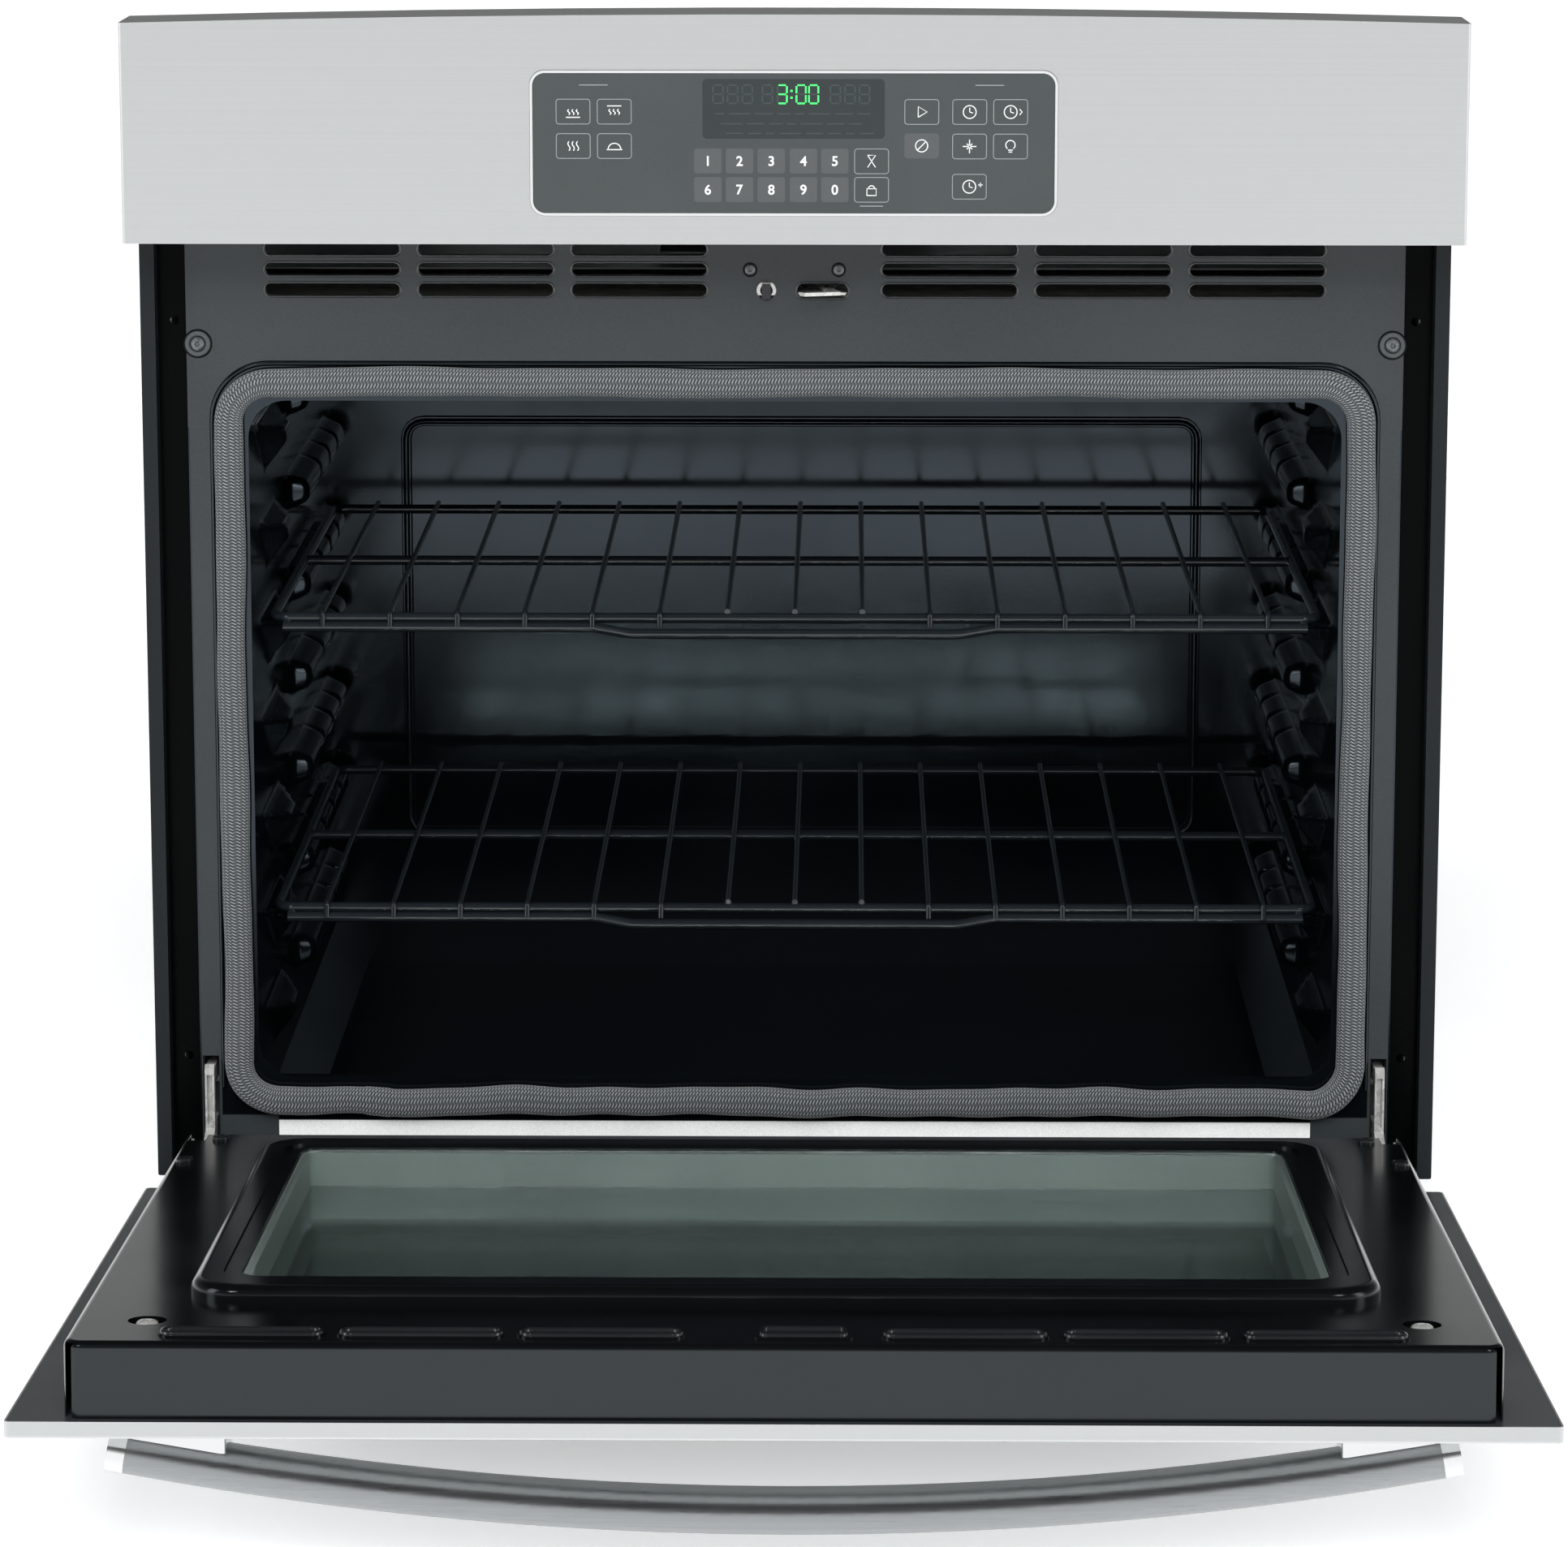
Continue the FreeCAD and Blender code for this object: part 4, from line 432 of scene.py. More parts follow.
def stroke(points, width, y):
    """A drawn line of even width through (x, z) points."""
    left, right = [], []
    for index, (x, z) in enumerate(points):
        before = points[max(0, index - 1)]
        after = points[min(len(points) - 1, index + 1)]
        dx, dz = after[0] - before[0], after[1] - before[1]
        length = math.hypot(dx, dz) or 1.0
        ox, oz = -dz / length * width / 2, dx / length * width / 2
        left.append((x + ox, y, z + oz))
        right.append((x - ox, y, z - oz))
    n = len(points)
    return left + right, [(k, n + k, n + k + 1, k + 1) for k in range(n - 1)]


def arc(x, z, radius, start, end, count=14):
    angles = [math.radians(start + (end - start) * k / count) for k in range(count + 1)]
    return [(x + radius * math.cos(a), z + radius * math.sin(a)) for a in angles]


LINE = 0.55
INK_Y = GLASS_Y - 0.05


def heat_wave(x, z, height=3.0):
    return [(x + 0.6 * math.sin(2 * math.pi * k / 10), z + height * k / 10) for k in range(11)]


def icon(kind, x, z):
    """Plain pictogram about 8 mm across, as strokes."""
    lines = []
    if kind in ("bake", "broil"):
        base = z - 3.2 if kind == "bake" else z + 3.2
        lines.append([(x - 4, base), (x + 4, base)])
        start = z - 1.8 if kind == "bake" else z - 1.6
        lines += [heat_wave(x + dx, start) for dx in (-2.4, 0, 2.4)]
    elif kind == "warm":
        lines += [heat_wave(x + dx, z - 2.6, 5.2) for dx in (-2.4, 0, 2.4)]
    elif kind == "proof":
        lines += [arc(x, z - 2, 3.6, 0, 180), [(x - 4.4, z - 2), (x + 4.4, z - 2)]]
    elif kind == "start":
        lines.append([(x - 2, z - 3), (x - 2, z + 3), (x + 3, z), (x - 2, z - 3)])
    elif kind == "cancel":
        lines += [arc(x, z, 3.4, 0, 360, 24), [(x - 2.3, z - 2.3), (x + 2.3, z + 2.3)]]
    elif kind in ("clock", "delay", "set"):
        lines += [arc(x, z, 3.6, 0, 360, 24), [(x, z + 2.4), (x, z), (x + 1.8, z - 0.6)]]
        if kind == "delay":
            lines.append([(x + 5.0, z - 1.6), (x + 6.4, z), (x + 5.0, z + 1.6)])
        if kind == "set":
            lines += [[(x + 5, z + 1), (x + 7.4, z + 1)], [(x + 6.2, z - 0.2), (x + 6.2, z + 2.2)]]
    elif kind == "clean":
        for angle in (0, 45, 90, 135):
            r = 3.8 if angle % 90 == 0 else 2.2
            dx, dz = r * math.cos(math.radians(angle)), r * math.sin(math.radians(angle))
            lines.append([(x - dx, z - dz), (x + dx, z + dz)])
    elif kind == "light":
        lines += [arc(x, z + 0.8, 2.6, -50, 230, 20), [(x - 1.3, z - 2), (x + 1.3, z - 2)],
                  [(x - 1.0, z - 3.1), (x + 1.0, z - 3.1)]]
    elif kind == "timer":
        glass = ((-2.2, 3.4), (2.2, 3.4), (-2.2, -3.4), (2.2, -3.4), (-2.2, 3.4))
        lines.append([(x + dx, z + dz) for dx, dz in glass])
    elif kind == "lock":
        body = ((-2.6, -3.2), (2.6, -3.2), (2.6, 0.6), (-2.6, 0.6), (-2.6, -3.2))
        lines += [[(x + dx, z + dz) for dx, dz in body], arc(x, z + 0.6, 1.7, 0, 180)]
    return [stroke(points, LINE, INK_Y) for points in lines]


KEY_W, KEY_H = 19.4, 14.3
ROW_TOP, ROW_MID, ROW_LOW = 654.7, 635.4, 612.8
KEYS = (
    ("bake", -123.5, ROW_TOP), ("broil", -100.4, ROW_TOP),
    ("warm", -123.5, ROW_MID), ("proof", -100.4, ROW_MID),
    ("start", 71.7, ROW_TOP), ("clock", 98.5, ROW_TOP), ("delay", 121.4, ROW_TOP),
    ("clean", 98.5, ROW_MID), ("light", 121.4, ROW_MID), ("set", 98.5, ROW_LOW),
    ("timer", 43.7, 627.0), ("lock", 43.7, 611.0),
)
KEY_R, KEY_BORDER = 1.8, 0.4
HEADINGS = ((-112.0, 669.6, 16.0), (109.6, 669.6, 16.0), (43.7, 601.8, 13.0))
HEADING_LINE = 0.5
CANCEL_X, CANCEL_Z = 71.7, 635.7
DIGIT_X = (-48.1, -30.3, -12.5, 5.5, 23.1)
DIGIT_Z = (627.1, 611.0)
DIGIT_SIZE, DIGIT_WEIGHT = 7.7, 0.14
PATCH_W, PATCH_H, PATCH_R = 15.4, 14.0, 1.4
PATCH_Y = GLASS_Y - 0.03


def key_outlines():
    """Frames of the keys, and short lines where headings stand."""
    parts = []
    for _, x, z in KEYS:
        outer = rounded_outline(x, z, KEY_W, KEY_H, KEY_R)
        inner = rounded_outline(x, z, KEY_W - 2 * KEY_BORDER, KEY_H - 2 * KEY_BORDER, KEY_R - KEY_BORDER)
        parts.append(outlined(outer, inner, INK_Y))
    for x, z, width in HEADINGS:
        parts.append(stroke([(x - width / 2, z), (x + width / 2, z)], HEADING_LINE, INK_Y))
    return gather(parts)


def key_patches():
    """Paler patches behind the number keys and the cancel key."""
    parts = [filled(rounded_outline(x, z, PATCH_W, PATCH_H, PATCH_R), PATCH_Y)
             for x in DIGIT_X for z in DIGIT_Z]
    parts.append(filled(rounded_outline(CANCEL_X, CANCEL_Z, KEY_W, PATCH_H, KEY_R), PATCH_Y))
    return gather(parts)


def key_icons():
    parts = []
    for kind, x, z in KEYS:
        parts += icon(kind, x, z)
    parts += icon("cancel", CANCEL_X, CANCEL_Z)
    return gather(parts)


def key_digits():
    """The ten number keys, set in a plain sans face."""
    made = []
    for index, digit in enumerate("1234567890"):
        curve = bpy.data.curves.new("digit_" + digit, "FONT")
        curve.body = digit
        curve.size = DIGIT_SIZE * MM
        curve.offset = DIGIT_WEIGHT * MM
        curve.align_x, curve.align_y = "CENTER", "CENTER"
        letter = bpy.data.objects.new("digit", curve)
        bpy.context.scene.collection.objects.link(letter)
        bpy.context.view_layer.update()
        mesh = bpy.data.meshes.new_from_object(letter)
        bpy.data.objects.remove(letter)
        x, z = DIGIT_X[index % 5], DIGIT_Z[index // 5]
        low = min(v.co.y for v in mesh.vertices)
        high = max(v.co.y for v in mesh.vertices)
        left = min(v.co.x for v in mesh.vertices)
        right = max(v.co.x for v in mesh.vertices)
        points = [((v.co.x - (left + right) / 2) / MM + x, INK_Y, (v.co.y - (low + high) / 2) / MM + z)
                  for v in mesh.vertices]
        made.append((points, [tuple(face.vertices) for face in mesh.polygons]))
    return gather(made)


SEGMENTS = {
    "a": ((0, 1), (1, 1)), "b": ((1, 1), (1, 0.5)), "c": ((1, 0.5), (1, 0)), "d": ((0, 0), (1, 0)),
    "e": ((0, 0.5), (0, 0)), "f": ((0, 1), (0, 0.5)), "g": ((0, 0.5), (1, 0.5)),
}
DISPLAY_LOW, DISPLAY_TALL = 659.4, 10.2
SEGMENT_GAP, SEGMENT_LINE = 0.55, 0.85
UNLIT_X, UNLIT_W = (-45.1, -36.9, -28.7, -17.5, 20.5, 28.7, 36.9), 5.6
HOUR_X, MINUTES_X, CLOCK_W = -9.0, (1.6, 8.6), 5.2
COLON_X, COLON_UP, COLON_SIDE = -1.2, (3.2, 7.0), 1.2
WORD_ROWS, WORD_LINE = (653.6, 648.0, 642.6), 0.75
WORDS_LEFT, WORDS_RIGHT, WORD_GAP = -44.0, 45.0, 2.6


def seven_segment(x, width, lit, y):
    """Strokes of one seven-segment digit, for the segments named in lit."""
    parts = []
    for name in lit:
        (u0, v0), (u1, v1) = SEGMENTS[name]
        start = Vector((x + u0 * width, DISPLAY_LOW + v0 * DISPLAY_TALL))
        end = Vector((x + u1 * width, DISPLAY_LOW + v1 * DISPLAY_TALL))
        along = (end - start).normalized()
        start, end = start + along * SEGMENT_GAP, end - along * SEGMENT_GAP
        parts.append(stroke([tuple(start), tuple(end)], SEGMENT_LINE, y))
    return parts


def display_parts():
    """The display's unlit segments and words, and its lit clock."""
    y_dim, y_lit = GLASS_Y - 0.07, GLASS_Y - 0.08
    dim, lit = [], []
    for x in UNLIT_X:
        dim += seven_segment(x, UNLIT_W, "abcdefg", y_dim)
    dim += seven_segment(HOUR_X, CLOCK_W, "ef", y_dim)
    lit += seven_segment(HOUR_X, CLOCK_W, "abgcd", y_lit)
    for x in MINUTES_X:
        dim += seven_segment(x, CLOCK_W, "g", y_dim)
        lit += seven_segment(x, CLOCK_W, "abcdef", y_lit)
    for up in COLON_UP:
        lit.append(filled(rounded_outline(COLON_X, DISPLAY_LOW + up, COLON_SIDE, COLON_SIDE, 0.3), y_lit))
    for row, z in enumerate(WORD_ROWS):
        x = WORDS_LEFT + 3.0 * row
        count = 0
        while x < WORDS_RIGHT - 5.0:
            width = 5.0 + 2.4 * ((count * 7 + row * 3) % 4)
            dim.append(stroke([(x, z), (min(x + width, WORDS_RIGHT), z)], WORD_LINE, y_dim))
            x += width + WORD_GAP
            count += 1
    return gather(dim), gather(lit)


WINDOW_Z, WINDOW_W, WINDOW_H, WINDOW_R = 656.3, 102.0, 33.4, 2.4


def control_graphics():
    window = filled(rounded_outline(0, WINDOW_Z, WINDOW_W, WINDOW_H, WINDOW_R), GLASS_Y - 0.04)
    piece("display_window", *window, display_black, "display", smooth=False)
    piece("key_outlines", *key_outlines(), ink_grey, "control_glass", smooth=False)
    piece("key_patches", *key_patches(), patch_grey, "control_glass", smooth=False)
    piece("key_icons", *key_icons(), ink_white, "control_glass", smooth=False)
    piece("key_digits", *key_digits(), ink_white, "control_glass", smooth=False)
    dim, lit = display_parts()
    piece("display_unlit", *dim, segment_dim, "display", smooth=False)
    piece("display_lit", *lit, segment_green, "display", smooth=False)


# ---- woven door seal ----------------------------------------------------------------
SEAL_HALF, SEAL_LOW, SEAL_HIGH, SEAL_R = 325.05, 69.75, 495.25, 23.7
SEAL_W, SEAL_H = 8.35, 4.25
SEAL_STAND_OFF, SEAL_UV_RADIUS = 4.3, 6.6
SEAL_LOW_RUN, SEAL_AROUND, SEAL_STEP = 20, 28, 3.0
LAP_FROM, LAP_TO = -251, -238


def door_seal():
    """Knitted glass-fibre tube, a little uneven, with its lapped joint low on the left."""
    points, normals = rounded_loop(SEAL_HALF, SEAL_LOW, SEAL_HIGH, SEAL_R, SEAL_STEP)
    lengths = [0.0]
    for a, b in zip(points, points[1:] + points[:1]):
        lengths.append(lengths[-1] + math.dist(a, b))
    total = lengths[-1]
    rows = len(points) + 1
    vertices, uv = [], []
    for row in range(rows):
        (x, z), (nx, nz) = points[row % len(points)], normals[row % len(points)]
        t = lengths[row] / total * 2 * math.pi
        low_run = max(0.0, min(1.0, (SEAL_LOW + SEAL_LOW_RUN - z) / SEAL_LOW_RUN))
        drift = 0.45 * math.sin(7 * t + 0.6) + 0.30 * math.sin(17 * t + 2.0)
        drift += low_run * (0.55 * math.sin(19 * t) + 0.35 * math.sin(43 * t + 1.0)
                            + 0.3 * math.sin(29 * t + 2.2))
        width = SEAL_W * (1 + 0.03 * math.sin(13 * t + 1) + 0.02 * math.sin(31 * t))
        height = SEAL_H * (1 + 0.03 * math.sin(19 * t))
        lap = 1.0 if low_run > 0.9 and LAP_FROM < x < LAP_TO else 0.0
        width += 0.5 * lap
        height += 0.25 * lap
        for k in range(SEAL_AROUND):
            a = 2 * math.pi * k / SEAL_AROUND
            c, s = math.cos(a), math.sin(a)
            out = width * math.copysign(abs(c) ** 0.8, c)
            forward = height * math.copysign(abs(s) ** 0.85, s)
            vertices.append((x + nx * (out + drift), FLANGE_Y - SEAL_STAND_OFF - forward,
                             z + nz * (out + drift)))
            uv.append((lengths[row] * MM, k / SEAL_AROUND * 2 * math.pi * SEAL_UV_RADIUS * MM))
    faces = turned_over(grid_faces(rows, SEAL_AROUND, False, True))
    seal = piece("door_seal", vertices, faces, braid, "gasket_braid", uv=uv)
    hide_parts("door_gasket")


# ---- cavity walls -------------------------------------------------------------------
WALL_X, WALL_FRONT, WALL_REAR, WALL_LOW, WALL_HIGH = 314.0, -286.8, 191.0, 33.0, 503.0
LEVEL_1, LEVEL_PITCH, LEVELS = 119.0, 58.0, 7
LEVEL_BELOW = 12                    # a level's stretch of wall is centred this far below it
LEDGE_H, LEDGE_DROP = 13.6, 3.5
RAIL_HALF, RAIL_ROUND, RAIL_TAPER = 9.5, 2.6, 12
RAIL_FRONT, RAIL_REAR = -80, 178
SEAM_Y, SEAM_SPREAD, SEAM_DEPTH = (10, 68, 122), 3.2, 0.28
SUPPORT_Y, SUPPORT_REACH, SUPPORT_DROP = -200, 56.0, 34.0
WALL_STEP_Y, WALL_STEP_Z = 2.6, 2.0


def smooth_step(t):
    t = max(0.0, min(1.0, t))
    return t * t * (3 - 2 * t)


def rail_height(y, z):
    """Pressed rack guides: a rounded rail behind, and a faceted V in front, at each level."""
    level = round((z + LEVEL_BELOW - LEVEL_1) / LEVEL_PITCH)
    if level < 0 or level >= LEVELS:
        return 0.0
    top = LEVEL_1 + level * LEVEL_PITCH - LEDGE_DROP
    height = 0.0
    q = (z - (top - RAIL_HALF)) / RAIL_HALF
    if abs(q) < 1 and RAIL_FRONT < y < RAIL_REAR:
        ends = smooth_step((y - RAIL_FRONT) / RAIL_TAPER) * smooth_step((RAIL_REAR - y) / RAIL_TAPER)
        seams = 1 - SEAM_DEPTH * sum(math.exp(-((y - seam) / SEAM_SPREAD) ** 2) for seam in SEAM_Y)
        height = LEDGE_H * (1 - abs(q) ** RAIL_ROUND) ** (1 / RAIL_ROUND) * ends * seams
    along = abs(y - SUPPORT_Y) / SUPPORT_REACH
    if along < 1 and z <= top:
        drop = SUPPORT_DROP * (1 - along)
        inside = min((z - (top - drop)) * 0.8, (top - z) * 2.2)
        if inside > 0:
            height = max(height, min(LEDGE_H, inside * 0.95))
    return height


def side_walls():
    """Both side walls with their pressed guides, as sheets that face into the cavity."""
    parts = []
    columns = int((WALL_REAR - WALL_FRONT) / WALL_STEP_Y)
    rows = int((WALL_HIGH - WALL_LOW) / WALL_STEP_Z)
    for side in (1, -1):
        points = []
        for r in range(rows + 1):
            z = WALL_LOW + (WALL_HIGH - WALL_LOW) * r / rows
            for c in range(columns + 1):
                y = WALL_FRONT + (WALL_REAR - WALL_FRONT) * c / columns
                points.append((side * (WALL_X - rail_height(y, z)), y, z))
        faces = grid_faces(rows + 1, columns + 1)
        if side > 0:
            faces = turned_over(faces)
        parts.append((points, faces))
    walls = piece("cavity_side_pressings", *gather(parts), cavity_black, "cavity_enamel")
    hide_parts("cavity_side_walls")


RIDGE_HALF, RIDGE_LOW, RIDGE_HIGH, RIDGE_R, RIDGE_STEP = 261.25, 123.75, 401.25, 11.5, 4.0
RIDGE_PROFILE = ((-3.6, 0.0), (-2.6, 1.2), (-1.0, 4.4), (-0.4, 5.0),
                 (0.4, 5.0), (1.0, 4.4), (2.6, 1.2), (3.6, 0.0))


def rear_ridge():
    """Pressed bead round the middle of the rear wall."""
    loop = rounded_loop(RIDGE_HALF, RIDGE_LOW, RIDGE_HIGH, RIDGE_R, RIDGE_STEP)
    points, faces = sweep(loop, WALL_REAR, RIDGE_PROFILE)
    piece("rear_wall_bead", points, faces, bead_black, "cavity_enamel")


# ---- pressed edges ------------------------------------------------------------------
VENT_X = (88.6, 176.4, 264.2)
VENT_Z = (571.7, 560.0, 548.3)
VENT_W, VENT_H, VENT_R = 78.0, 7.8, 3.85
FRAME_LOCK_SLOT = (16.0, 548.0, 30.0, 9.0, 4.4)
LIP_SIDES = 8
VENT_LIP = ((0.9, -0.1), (0.7, 0.45), (0.1, 0.6), (-0.5, 0.3), (-0.8, -0.5), (-0.8, -2.4))
EDGE_HALF, EDGE_LOW, EDGE_HIGH, EDGE_R, EDGE_STEP = 334.8, 40.0, 505.6, 33.0, 4.0
EDGE_ENDS_Z = 76


def vent_lips():
    """Rolled edges round the slots of the front frame."""
    parts = []
    for side in (1, -1):
        for x in VENT_X:
            for z in VENT_Z:
                outline = rounded_outline(side * x, z, VENT_W, VENT_H, VENT_R, LIP_SIDES)
                parts.append(lip(outline, FRAME_Y, VENT_LIP))
    parts.append(lip(rounded_outline(*FRAME_LOCK_SLOT, LIP_SIDES), FRAME_Y, VENT_LIP))
    return gather(parts)


def lip(outline, y, profile):
    """Sweep a profile of (outward, forward) offsets round a closed outline."""
    n = len(outline)
    points = []
    for k in range(n):
        before, after = outline[k - 1], outline[(k + 1) % n]
        dx, dz = after[0] - before[0], after[1] - before[1]
        length = math.hypot(dx, dz) or 1.0
        nx, nz = dz / length, -dx / length
        for out, forward in profile:
            points.append((outline[k][0] + nx * out, y - forward, outline[k][1] + nz * out))
    return points, turned_over(grid_faces(n, len(profile), True, False))


def flange_bead():
    """Rounded black edge of the cavity flange that shows round the seal."""
    points, normals = rounded_loop(EDGE_HALF, EDGE_LOW, EDGE_HIGH, EDGE_R, EDGE_STEP)
    kept = [(p, n) for p, n in zip(points, normals) if p[1] > EDGE_ENDS_Z]
    loop = ([p for p, n in kept], [n for p, n in kept])
    points, faces = sweep(loop, FLANGE_Y, half_round(1.5, 8, 1.9), closed=False)
    piece("flange_edge", points, faces, cavity_black, "cavity_enamel")


# ---- screws and the door switch -------------------------------------------------------
POCKET_X, POCKET_Z = 314.0, 522.0
POCKET_SCREW_BASE, POCKET_SKIRT = 3.2, -3.4
POCKET_SCREW_R = 5.7
SCREW_SIDES, LOBE = 48, 0.28
SCREW_RINGS = ((5.7, 0.1), (5.7, 1.5), (5.2, 2.5), (4.0, 3.2), (2.6, 3.5))
RECESS_RINGS = ((2.0, 3.45), (1.7, 1.9), (0.01, 1.9))


def on_open_door(x, y, z):
    """A place on the shut door, moved to where the open door carries it."""
    c, s = math.cos(REST_OPEN), math.sin(REST_OPEN)
    dy, dz = y - PIVOT_Y, z - PIVOT_Z
    return x, PIVOT_Y + dy * c - dz * s, PIVOT_Z + dy * s + dz * c


def as_placed(x, y, z):
    """A place that stays where it is, for pieces on the chassis."""
    return x, y, z


def turned(x, y, z, rings, facing, place, lobed_from=None):
    """A turned shape about an axis along Y; rings past lobed_from have six lobes."""
    points = []
    for index, (radius, height) in enumerate(rings):
        lobe = LOBE if lobed_from is not None and index >= lobed_from else 0.0
        for k in range(SCREW_SIDES):
            a = -facing * 2 * math.pi * k / SCREW_SIDES
            r = radius * (1 + lobe * math.cos(6 * a))
            points.append(place(x + r * math.cos(a), y + facing * height, z + r * math.sin(a)))
    return points, grid_faces(len(rings), SCREW_SIDES, False, True)


def screw_head(x, y, z, radius, facing, place, skirt=0.0):
    """Domed head with a six-lobed recess, its side carried down by the skirt."""
    scale = radius / SCREW_RINGS[0][0]
    rings = [(radius, skirt)] + [(r * scale, height * scale) for r, height in SCREW_RINGS + RECESS_RINGS]
    return turned(x, y, z, rings, facing, place, len(SCREW_RINGS) + 1)


def pocket_screws():
    base = LINER_Y - POCKET_SCREW_BASE
    return gather([screw_head(side * POCKET_X, base, POCKET_Z, POCKET_SCREW_R, 1, on_open_door, POCKET_SKIRT)
                   for side in (1, -1)])


CORNER_SCREW, HEADER_SCREW = (342.0, 517.0), (25.3, 560.0)
CORNER_HEAD_R, CORNER_SHADE_R, CORNER_LIFT = 4.1, 7.9, 0.6
HEADER_HEAD_R, HEADER_SHADE_R = 3.2, 3.7
WASHER_RINGS = ((7.4, 0.0), (7.4, 1.0), (7.0, 1.5), (6.3, 1.7), (5.2, 1.6), (4.5, 1.1), (4.5, 0.0))
SHADE_RING_PROFILE = ((0.55, 0.0), (0.35, 0.4), (-0.35, 0.4), (-0.55, 0.0))


def circle(x, z, radius, sides=40):
    return arc(x, z, radius, 0, 360 - 360 / sides, sides - 1)


def frame_fasteners():
    """Screws of the front frame, the corner ones on pale washers, each ringed by a low near-black bead whose
    colour is painted shade, for the shadow gap round it.
    """
    heads, washers, shade_rings = [], [], []
    for side in (1, -1):
        x, z = side * CORNER_SCREW[0], CORNER_SCREW[1]
        heads.append(screw_head(x, FRAME_Y - CORNER_LIFT, z, CORNER_HEAD_R, -1, as_placed))
        washers.append(turned(x, FRAME_Y, z, WASHER_RINGS, -1, as_placed))
        shade_rings.append(lip(circle(x, z, CORNER_SHADE_R), FRAME_Y, SHADE_RING_PROFILE))
        x, z = side * HEADER_SCREW[0], HEADER_SCREW[1]
        heads.append(screw_head(x, FRAME_Y, z, HEADER_HEAD_R, -1, as_placed))
        shade_rings.append(lip(circle(x, z, HEADER_SHADE_R), FRAME_Y, SHADE_RING_PROFILE))
    made = piece("frame_screw_heads", *gather(heads), screw_sheen, "screw_black")
    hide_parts("frame_screws")
    piece("frame_screw_washers", *gather(washers), washer_grey, "frame_enamel")
    # Painted shade: near-black rings for the shadow gaps round the heads and washers.
    piece("frame_screw_shade_rings", *gather(shade_rings), painted_shade_and_ledge_black, "frame_enamel")


CASE_EDGE, CASE_SCREW_R, TOP_SETBACK = 11.0, 4.2, 8.0
SIDE_SCREW_Z = (24.0, 144.0, 264.0, 384.0, 504.0, 634.0)
TOP_SCREW_X = (-330.0, -198.0, -66.0, 66.0, 198.0, 330.0)


def case_screws():
    """Pan-head screws that hold the side panels and the top cover, along their edges."""
    sides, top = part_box("side_panels"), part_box("top_cover")
    heads = []
    for side in (1, -1):
        face = sides[1].x / MM
        for y in (sides[0].y / MM + CASE_EDGE, sides[1].y / MM - CASE_EDGE):
            for z in SIDE_SCREW_Z:
                heads.append(screw_head(y, 0.0, z, CASE_SCREW_R, side,
                                        lambda along, out, up: (side * face + out, along, up)))
    roof = top[1].z / MM
    for y in (top[0].y / MM + CASE_EDGE + TOP_SETBACK, top[1].y / MM - CASE_EDGE):
        for x in TOP_SCREW_X:
            heads.append(screw_head(x, 0.0, y, CASE_SCREW_R, 1,
                                    lambda across, out, back: (across, back, roof + out)))
    points, faces = gather(heads)
    piece("case_screws", points, turned_over(faces), looks["zinc_steel"], "zinc_steel")


SWITCH_X, SWITCH_Z, SWITCH_TIP = -16.0, 548.0, 4.5
FLAG_W, FLAG_H, FLAG_R, FLAG_T = 5.0, 8.8, 0.8, 0.5
HOLE_R, HOLE_LEDGE_ARC = 5.5, (211, 329)
HOLE_LEDGE_FRONT, HOLE_LEDGE_BACK = 0.3, 0.8


def plate(outline, front, back):
    """A flat plate with an (x, z) outline."""
    n = len(outline)
    points = [(x, front, z) for x, z in outline] + [(x, back, z) for x, z in outline]
    sides = [(k, n + k, n + (k + 1) % n, (k + 1) % n) for k in range(n)]
    return points, [tuple(range(n)), tuple(reversed(range(n, 2 * n)))] + sides


def door_switch():
    """The flag at the tip of the switch plunger, and the dark ledge below it in its hole."""
    tip_y = FRAME_Y - SWITCH_TIP
    flag = plate(rounded_outline(SWITCH_X, SWITCH_Z, FLAG_W, FLAG_H, FLAG_R), tip_y - FLAG_T, tip_y)
    piece("switch_flag", *flag, looks["switch_plastic"], "switch_plastic", "door_switch_pin",
          smooth=False)
    ledge = plate(arc(SWITCH_X, SWITCH_Z, HOLE_R, *HOLE_LEDGE_ARC),
                  FRAME_Y + HOLE_LEDGE_FRONT, FRAME_Y + HOLE_LEDGE_BACK)
    piece("switch_ledge", *ledge, painted_shade_and_ledge_black, "switch_plastic", smooth=False)


DOOR_VENTS = [(side * x, 551.0, 75.0, 8.6, 4.25) for side in (1, -1) for x in VENT_X]
DOOR_LOCK_SLOT = (10.0, 548.0, 38.0, 12.0, 1.6)
ROLLED_EDGE = ((-0.1, -1.4), (-0.1, 1.9), (0.4, 2.6), (1.1, 2.8), (1.9, 2.6), (2.5, 1.9), (2.5, -0.2))


def door_vent_lips():
    """Rolled edges round the air slots and the lock slot in the door's inner panel."""
    parts = []
    for slot in DOOR_VENTS + [DOOR_LOCK_SLOT]:
        points, faces = lip(rounded_outline(*slot, LIP_SIDES), -LINER_Y, ROLLED_EDGE)
        parts.append(([on_open_door(px, -py, pz) for px, py, pz in points], faces))
    return gather(parts)


# ---- build --------------------------------------------------------------------------
def dress_cad_nodes():
    """Give every carried-over CAD node the look of its material slot."""
    slots = {part["node"]: part["material_slot"] for part in frame["record"]["subparts"]}
    for name, slot in slots.items():
        materials = nodes[name].data.materials
        for index in range(len(materials)):
            materials[index] = NODE_LOOKS.get(name, looks[slot])


dress_cad_nodes()
control_graphics()
door_seal()
side_walls()
rear_ridge()
flange_bead()
piece("vent_lips", *vent_lips(), rim_black, "frame_enamel")
piece("door_vent_lips", *door_vent_lips(), rim_black, "cavity_enamel", "door")
piece("pocket_screws", *pocket_screws(), looks["zinc_steel"], "zinc_steel", "door")
frame_fasteners()
case_screws()
door_switch()

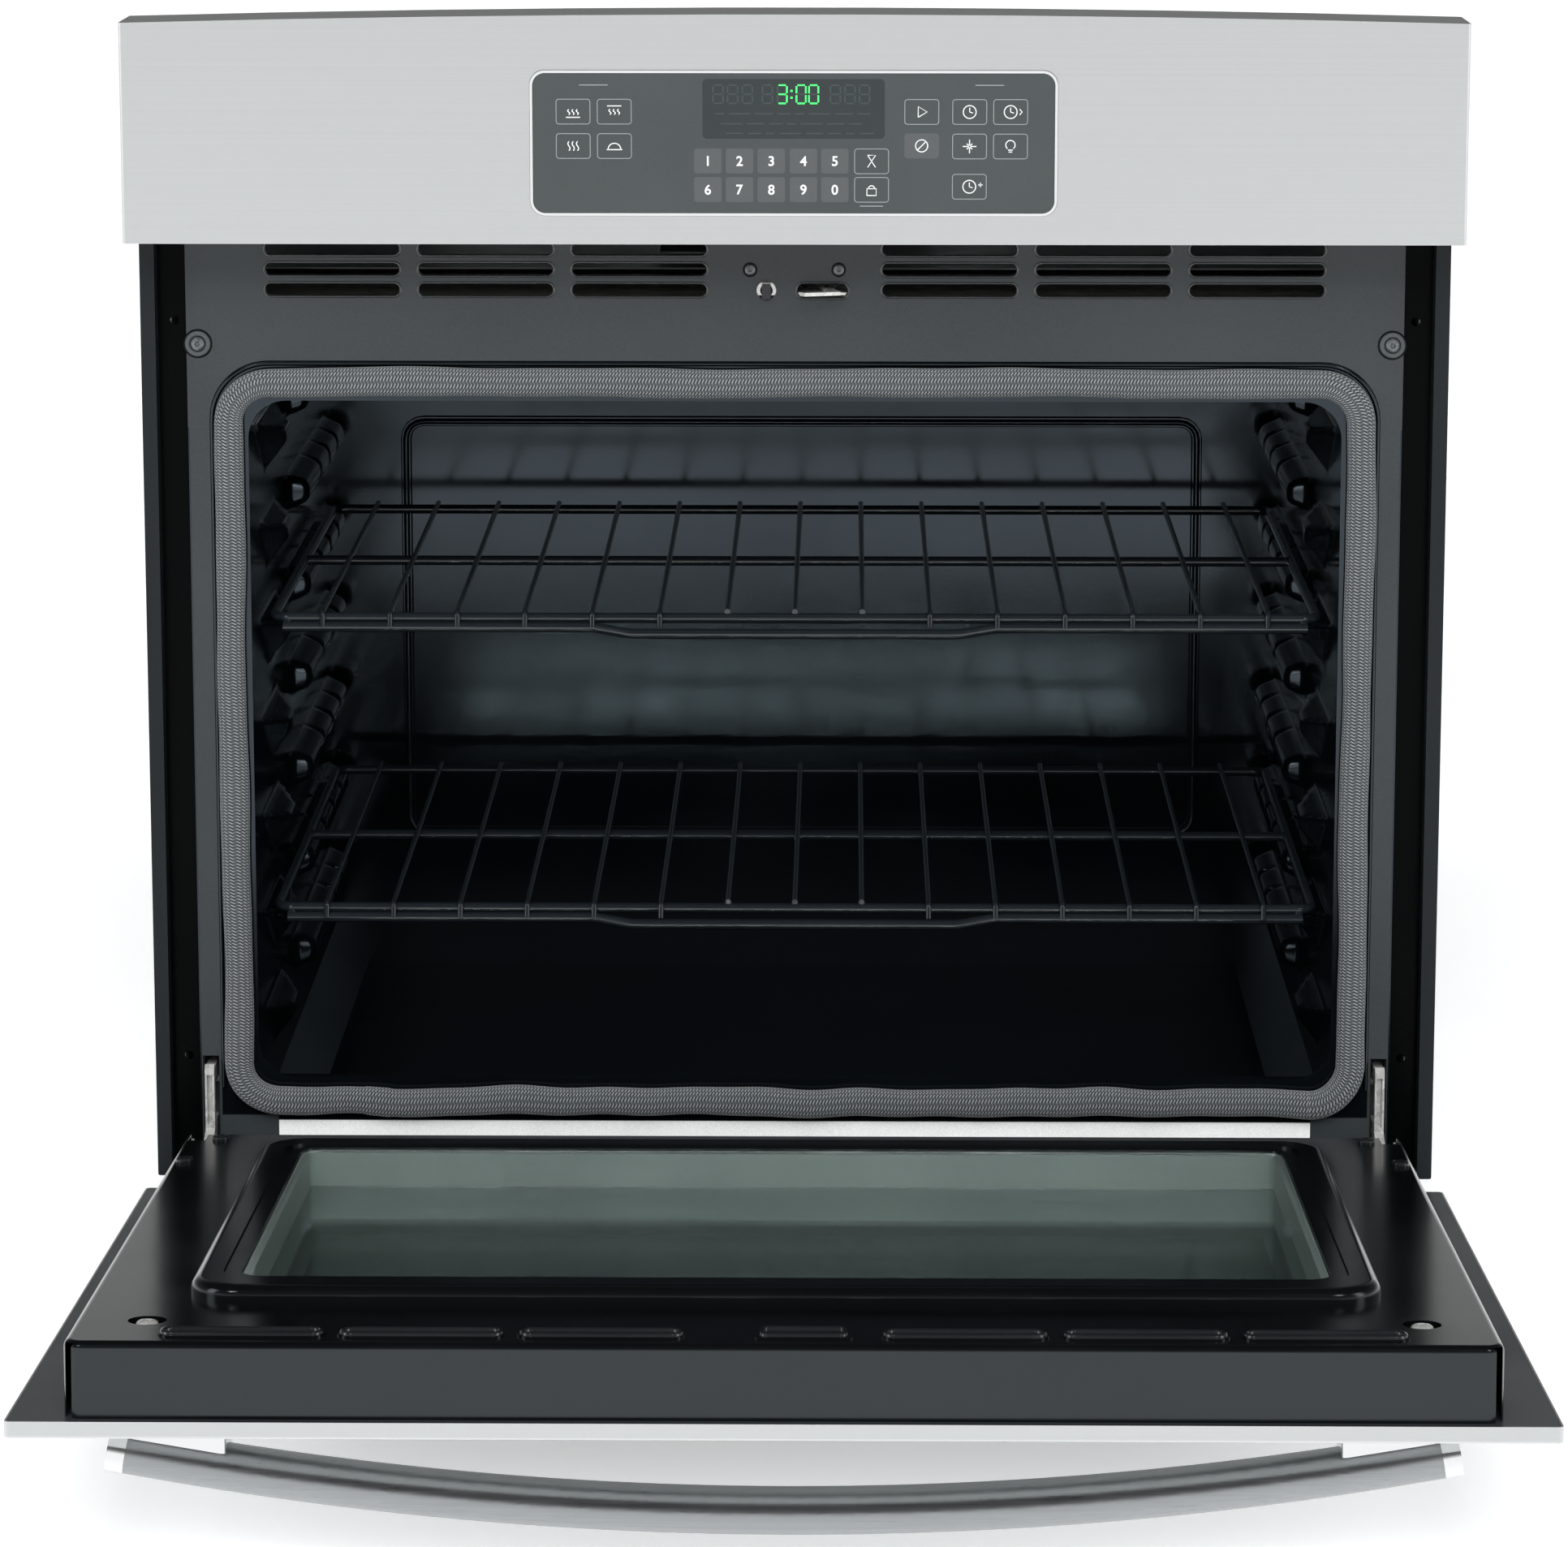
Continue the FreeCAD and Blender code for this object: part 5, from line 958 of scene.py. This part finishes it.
# ---- stage, light and camera --------------------------------------------------------
FLOOR_HALF = 40.0
SKY = ((0.0, 1.0), (0.05, 0.80), (0.22, 0.16), (0.6, 0.03))
SUN_POWER, SUN_ANGLE, SUN_TILT = 3.3, math.radians(50), math.radians(48)
LIGHTS_AIM = (0, -0.3, 0.3)
CAMERA_PLACE = (0.0299, -3.462, 0.9438)
CAMERA_DOWN, CAMERA_LEFT = 10.45, 0.647
LENS, CAMERA_SHIFT = 128.25, -0.1


def floor_paint():
    """Matt white paper, faintly mottled, that gives off light of its own to stay white."""
    g = Graph("floor_pale")
    mottle = g.noise(g.place((3.0,) * 3), 1.0, 2.0)
    tone = g.ramp(mottle, (0.3, (0.84, 0.845, 0.85)), (0.7, (0.86, 0.865, 0.87)))
    return g.finish(Base_Color=tone, Roughness=0.9, Specular_IOR_Level=0.0,
                    Emission_Color=tone, Emission_Strength=0.52)


def stage():
    z = cad_box[0].z
    mesh = bpy.data.meshes.new("floor")
    s = FLOOR_HALF
    mesh.from_pydata([(-s, -s, z), (s, -s, z), (s, s, z), (-s, s, z)], [], [(0, 1, 2, 3)])
    floor = bpy.data.objects.new("floor", mesh)
    bpy.context.scene.collection.objects.link(floor)
    mesh.materials.append(floor_paint())


def studio_world():
    """White below and all round the horizon, falling off to a dark ceiling."""
    world = bpy.data.worlds.new("studio")
    bpy.context.scene.world = world
    world.use_nodes = True
    tree = world.node_tree
    coords = tree.nodes.new("ShaderNodeTexCoord")
    split = tree.nodes.new("ShaderNodeSeparateXYZ")
    ramp = tree.nodes.new("ShaderNodeValToRGB")
    tree.links.new(coords.outputs["Generated"], split.inputs[0])
    tree.links.new(split.outputs[2], ramp.inputs[0])
    tree.links.new(ramp.outputs[0], tree.nodes["Background"].inputs[0])
    elements = ramp.color_ramp.elements
    while len(elements) < len(SKY):
        elements.new(0.5)
    for element, (height, level) in zip(elements, SKY):
        element.position = height
        element.color = (level, level, level, 1.0)


def area_light(name, place, target, size, power):
    data = bpy.data.lights.new(name, "AREA")
    data.shape = "RECTANGLE"
    data.size, data.size_y = size
    data.energy = power
    lamp = bpy.data.objects.new(name, data)
    lamp.location = place
    lamp.rotation_euler = (Vector(target) - Vector(place)).to_track_quat("-Z", "Y").to_euler()
    bpy.context.scene.collection.objects.link(lamp)


def overhead_sun():
    """Broad even light from above and in front, hidden from reflections."""
    data = bpy.data.lights.new("overhead", "SUN")
    data.energy = SUN_POWER
    data.angle = SUN_ANGLE
    lamp = bpy.data.objects.new("overhead", data)
    lamp.rotation_euler = (SUN_TILT, 0, 0)
    lamp.visible_glossy = False
    bpy.context.scene.collection.objects.link(lamp)


def lights():
    overhead_sun()
    for name, side in (("left", -1), ("right", 1)):
        area_light(name + "_softbox", (side * 3.0, -1.6, 1.3), LIGHTS_AIM, (1.0, 1.8), 12)
    for name, side in (("left", -1), ("right", 1)):
        area_light(name + "_spark", (side * 1.3, -2.9, 2.1), LIGHTS_AIM, (0.22, 0.22), 5)


def photographers_camera():
    """Long lens, a little higher than the object and looking down at it."""
    data = bpy.data.cameras.new("camera")
    camera = bpy.data.objects.new("camera", data)
    bpy.context.scene.collection.objects.link(camera)
    camera.location = CAMERA_PLACE
    camera.rotation_euler = (math.radians(90 - CAMERA_DOWN), 0, math.radians(CAMERA_LEFT))
    data.sensor_width = 36.0
    data.lens = LENS
    data.shift_y = CAMERA_SHIFT
    bpy.context.scene.camera = camera


stage()
studio_world()
lights()
photographers_camera()
bpy.context.scene.view_settings.view_transform = "Standard"
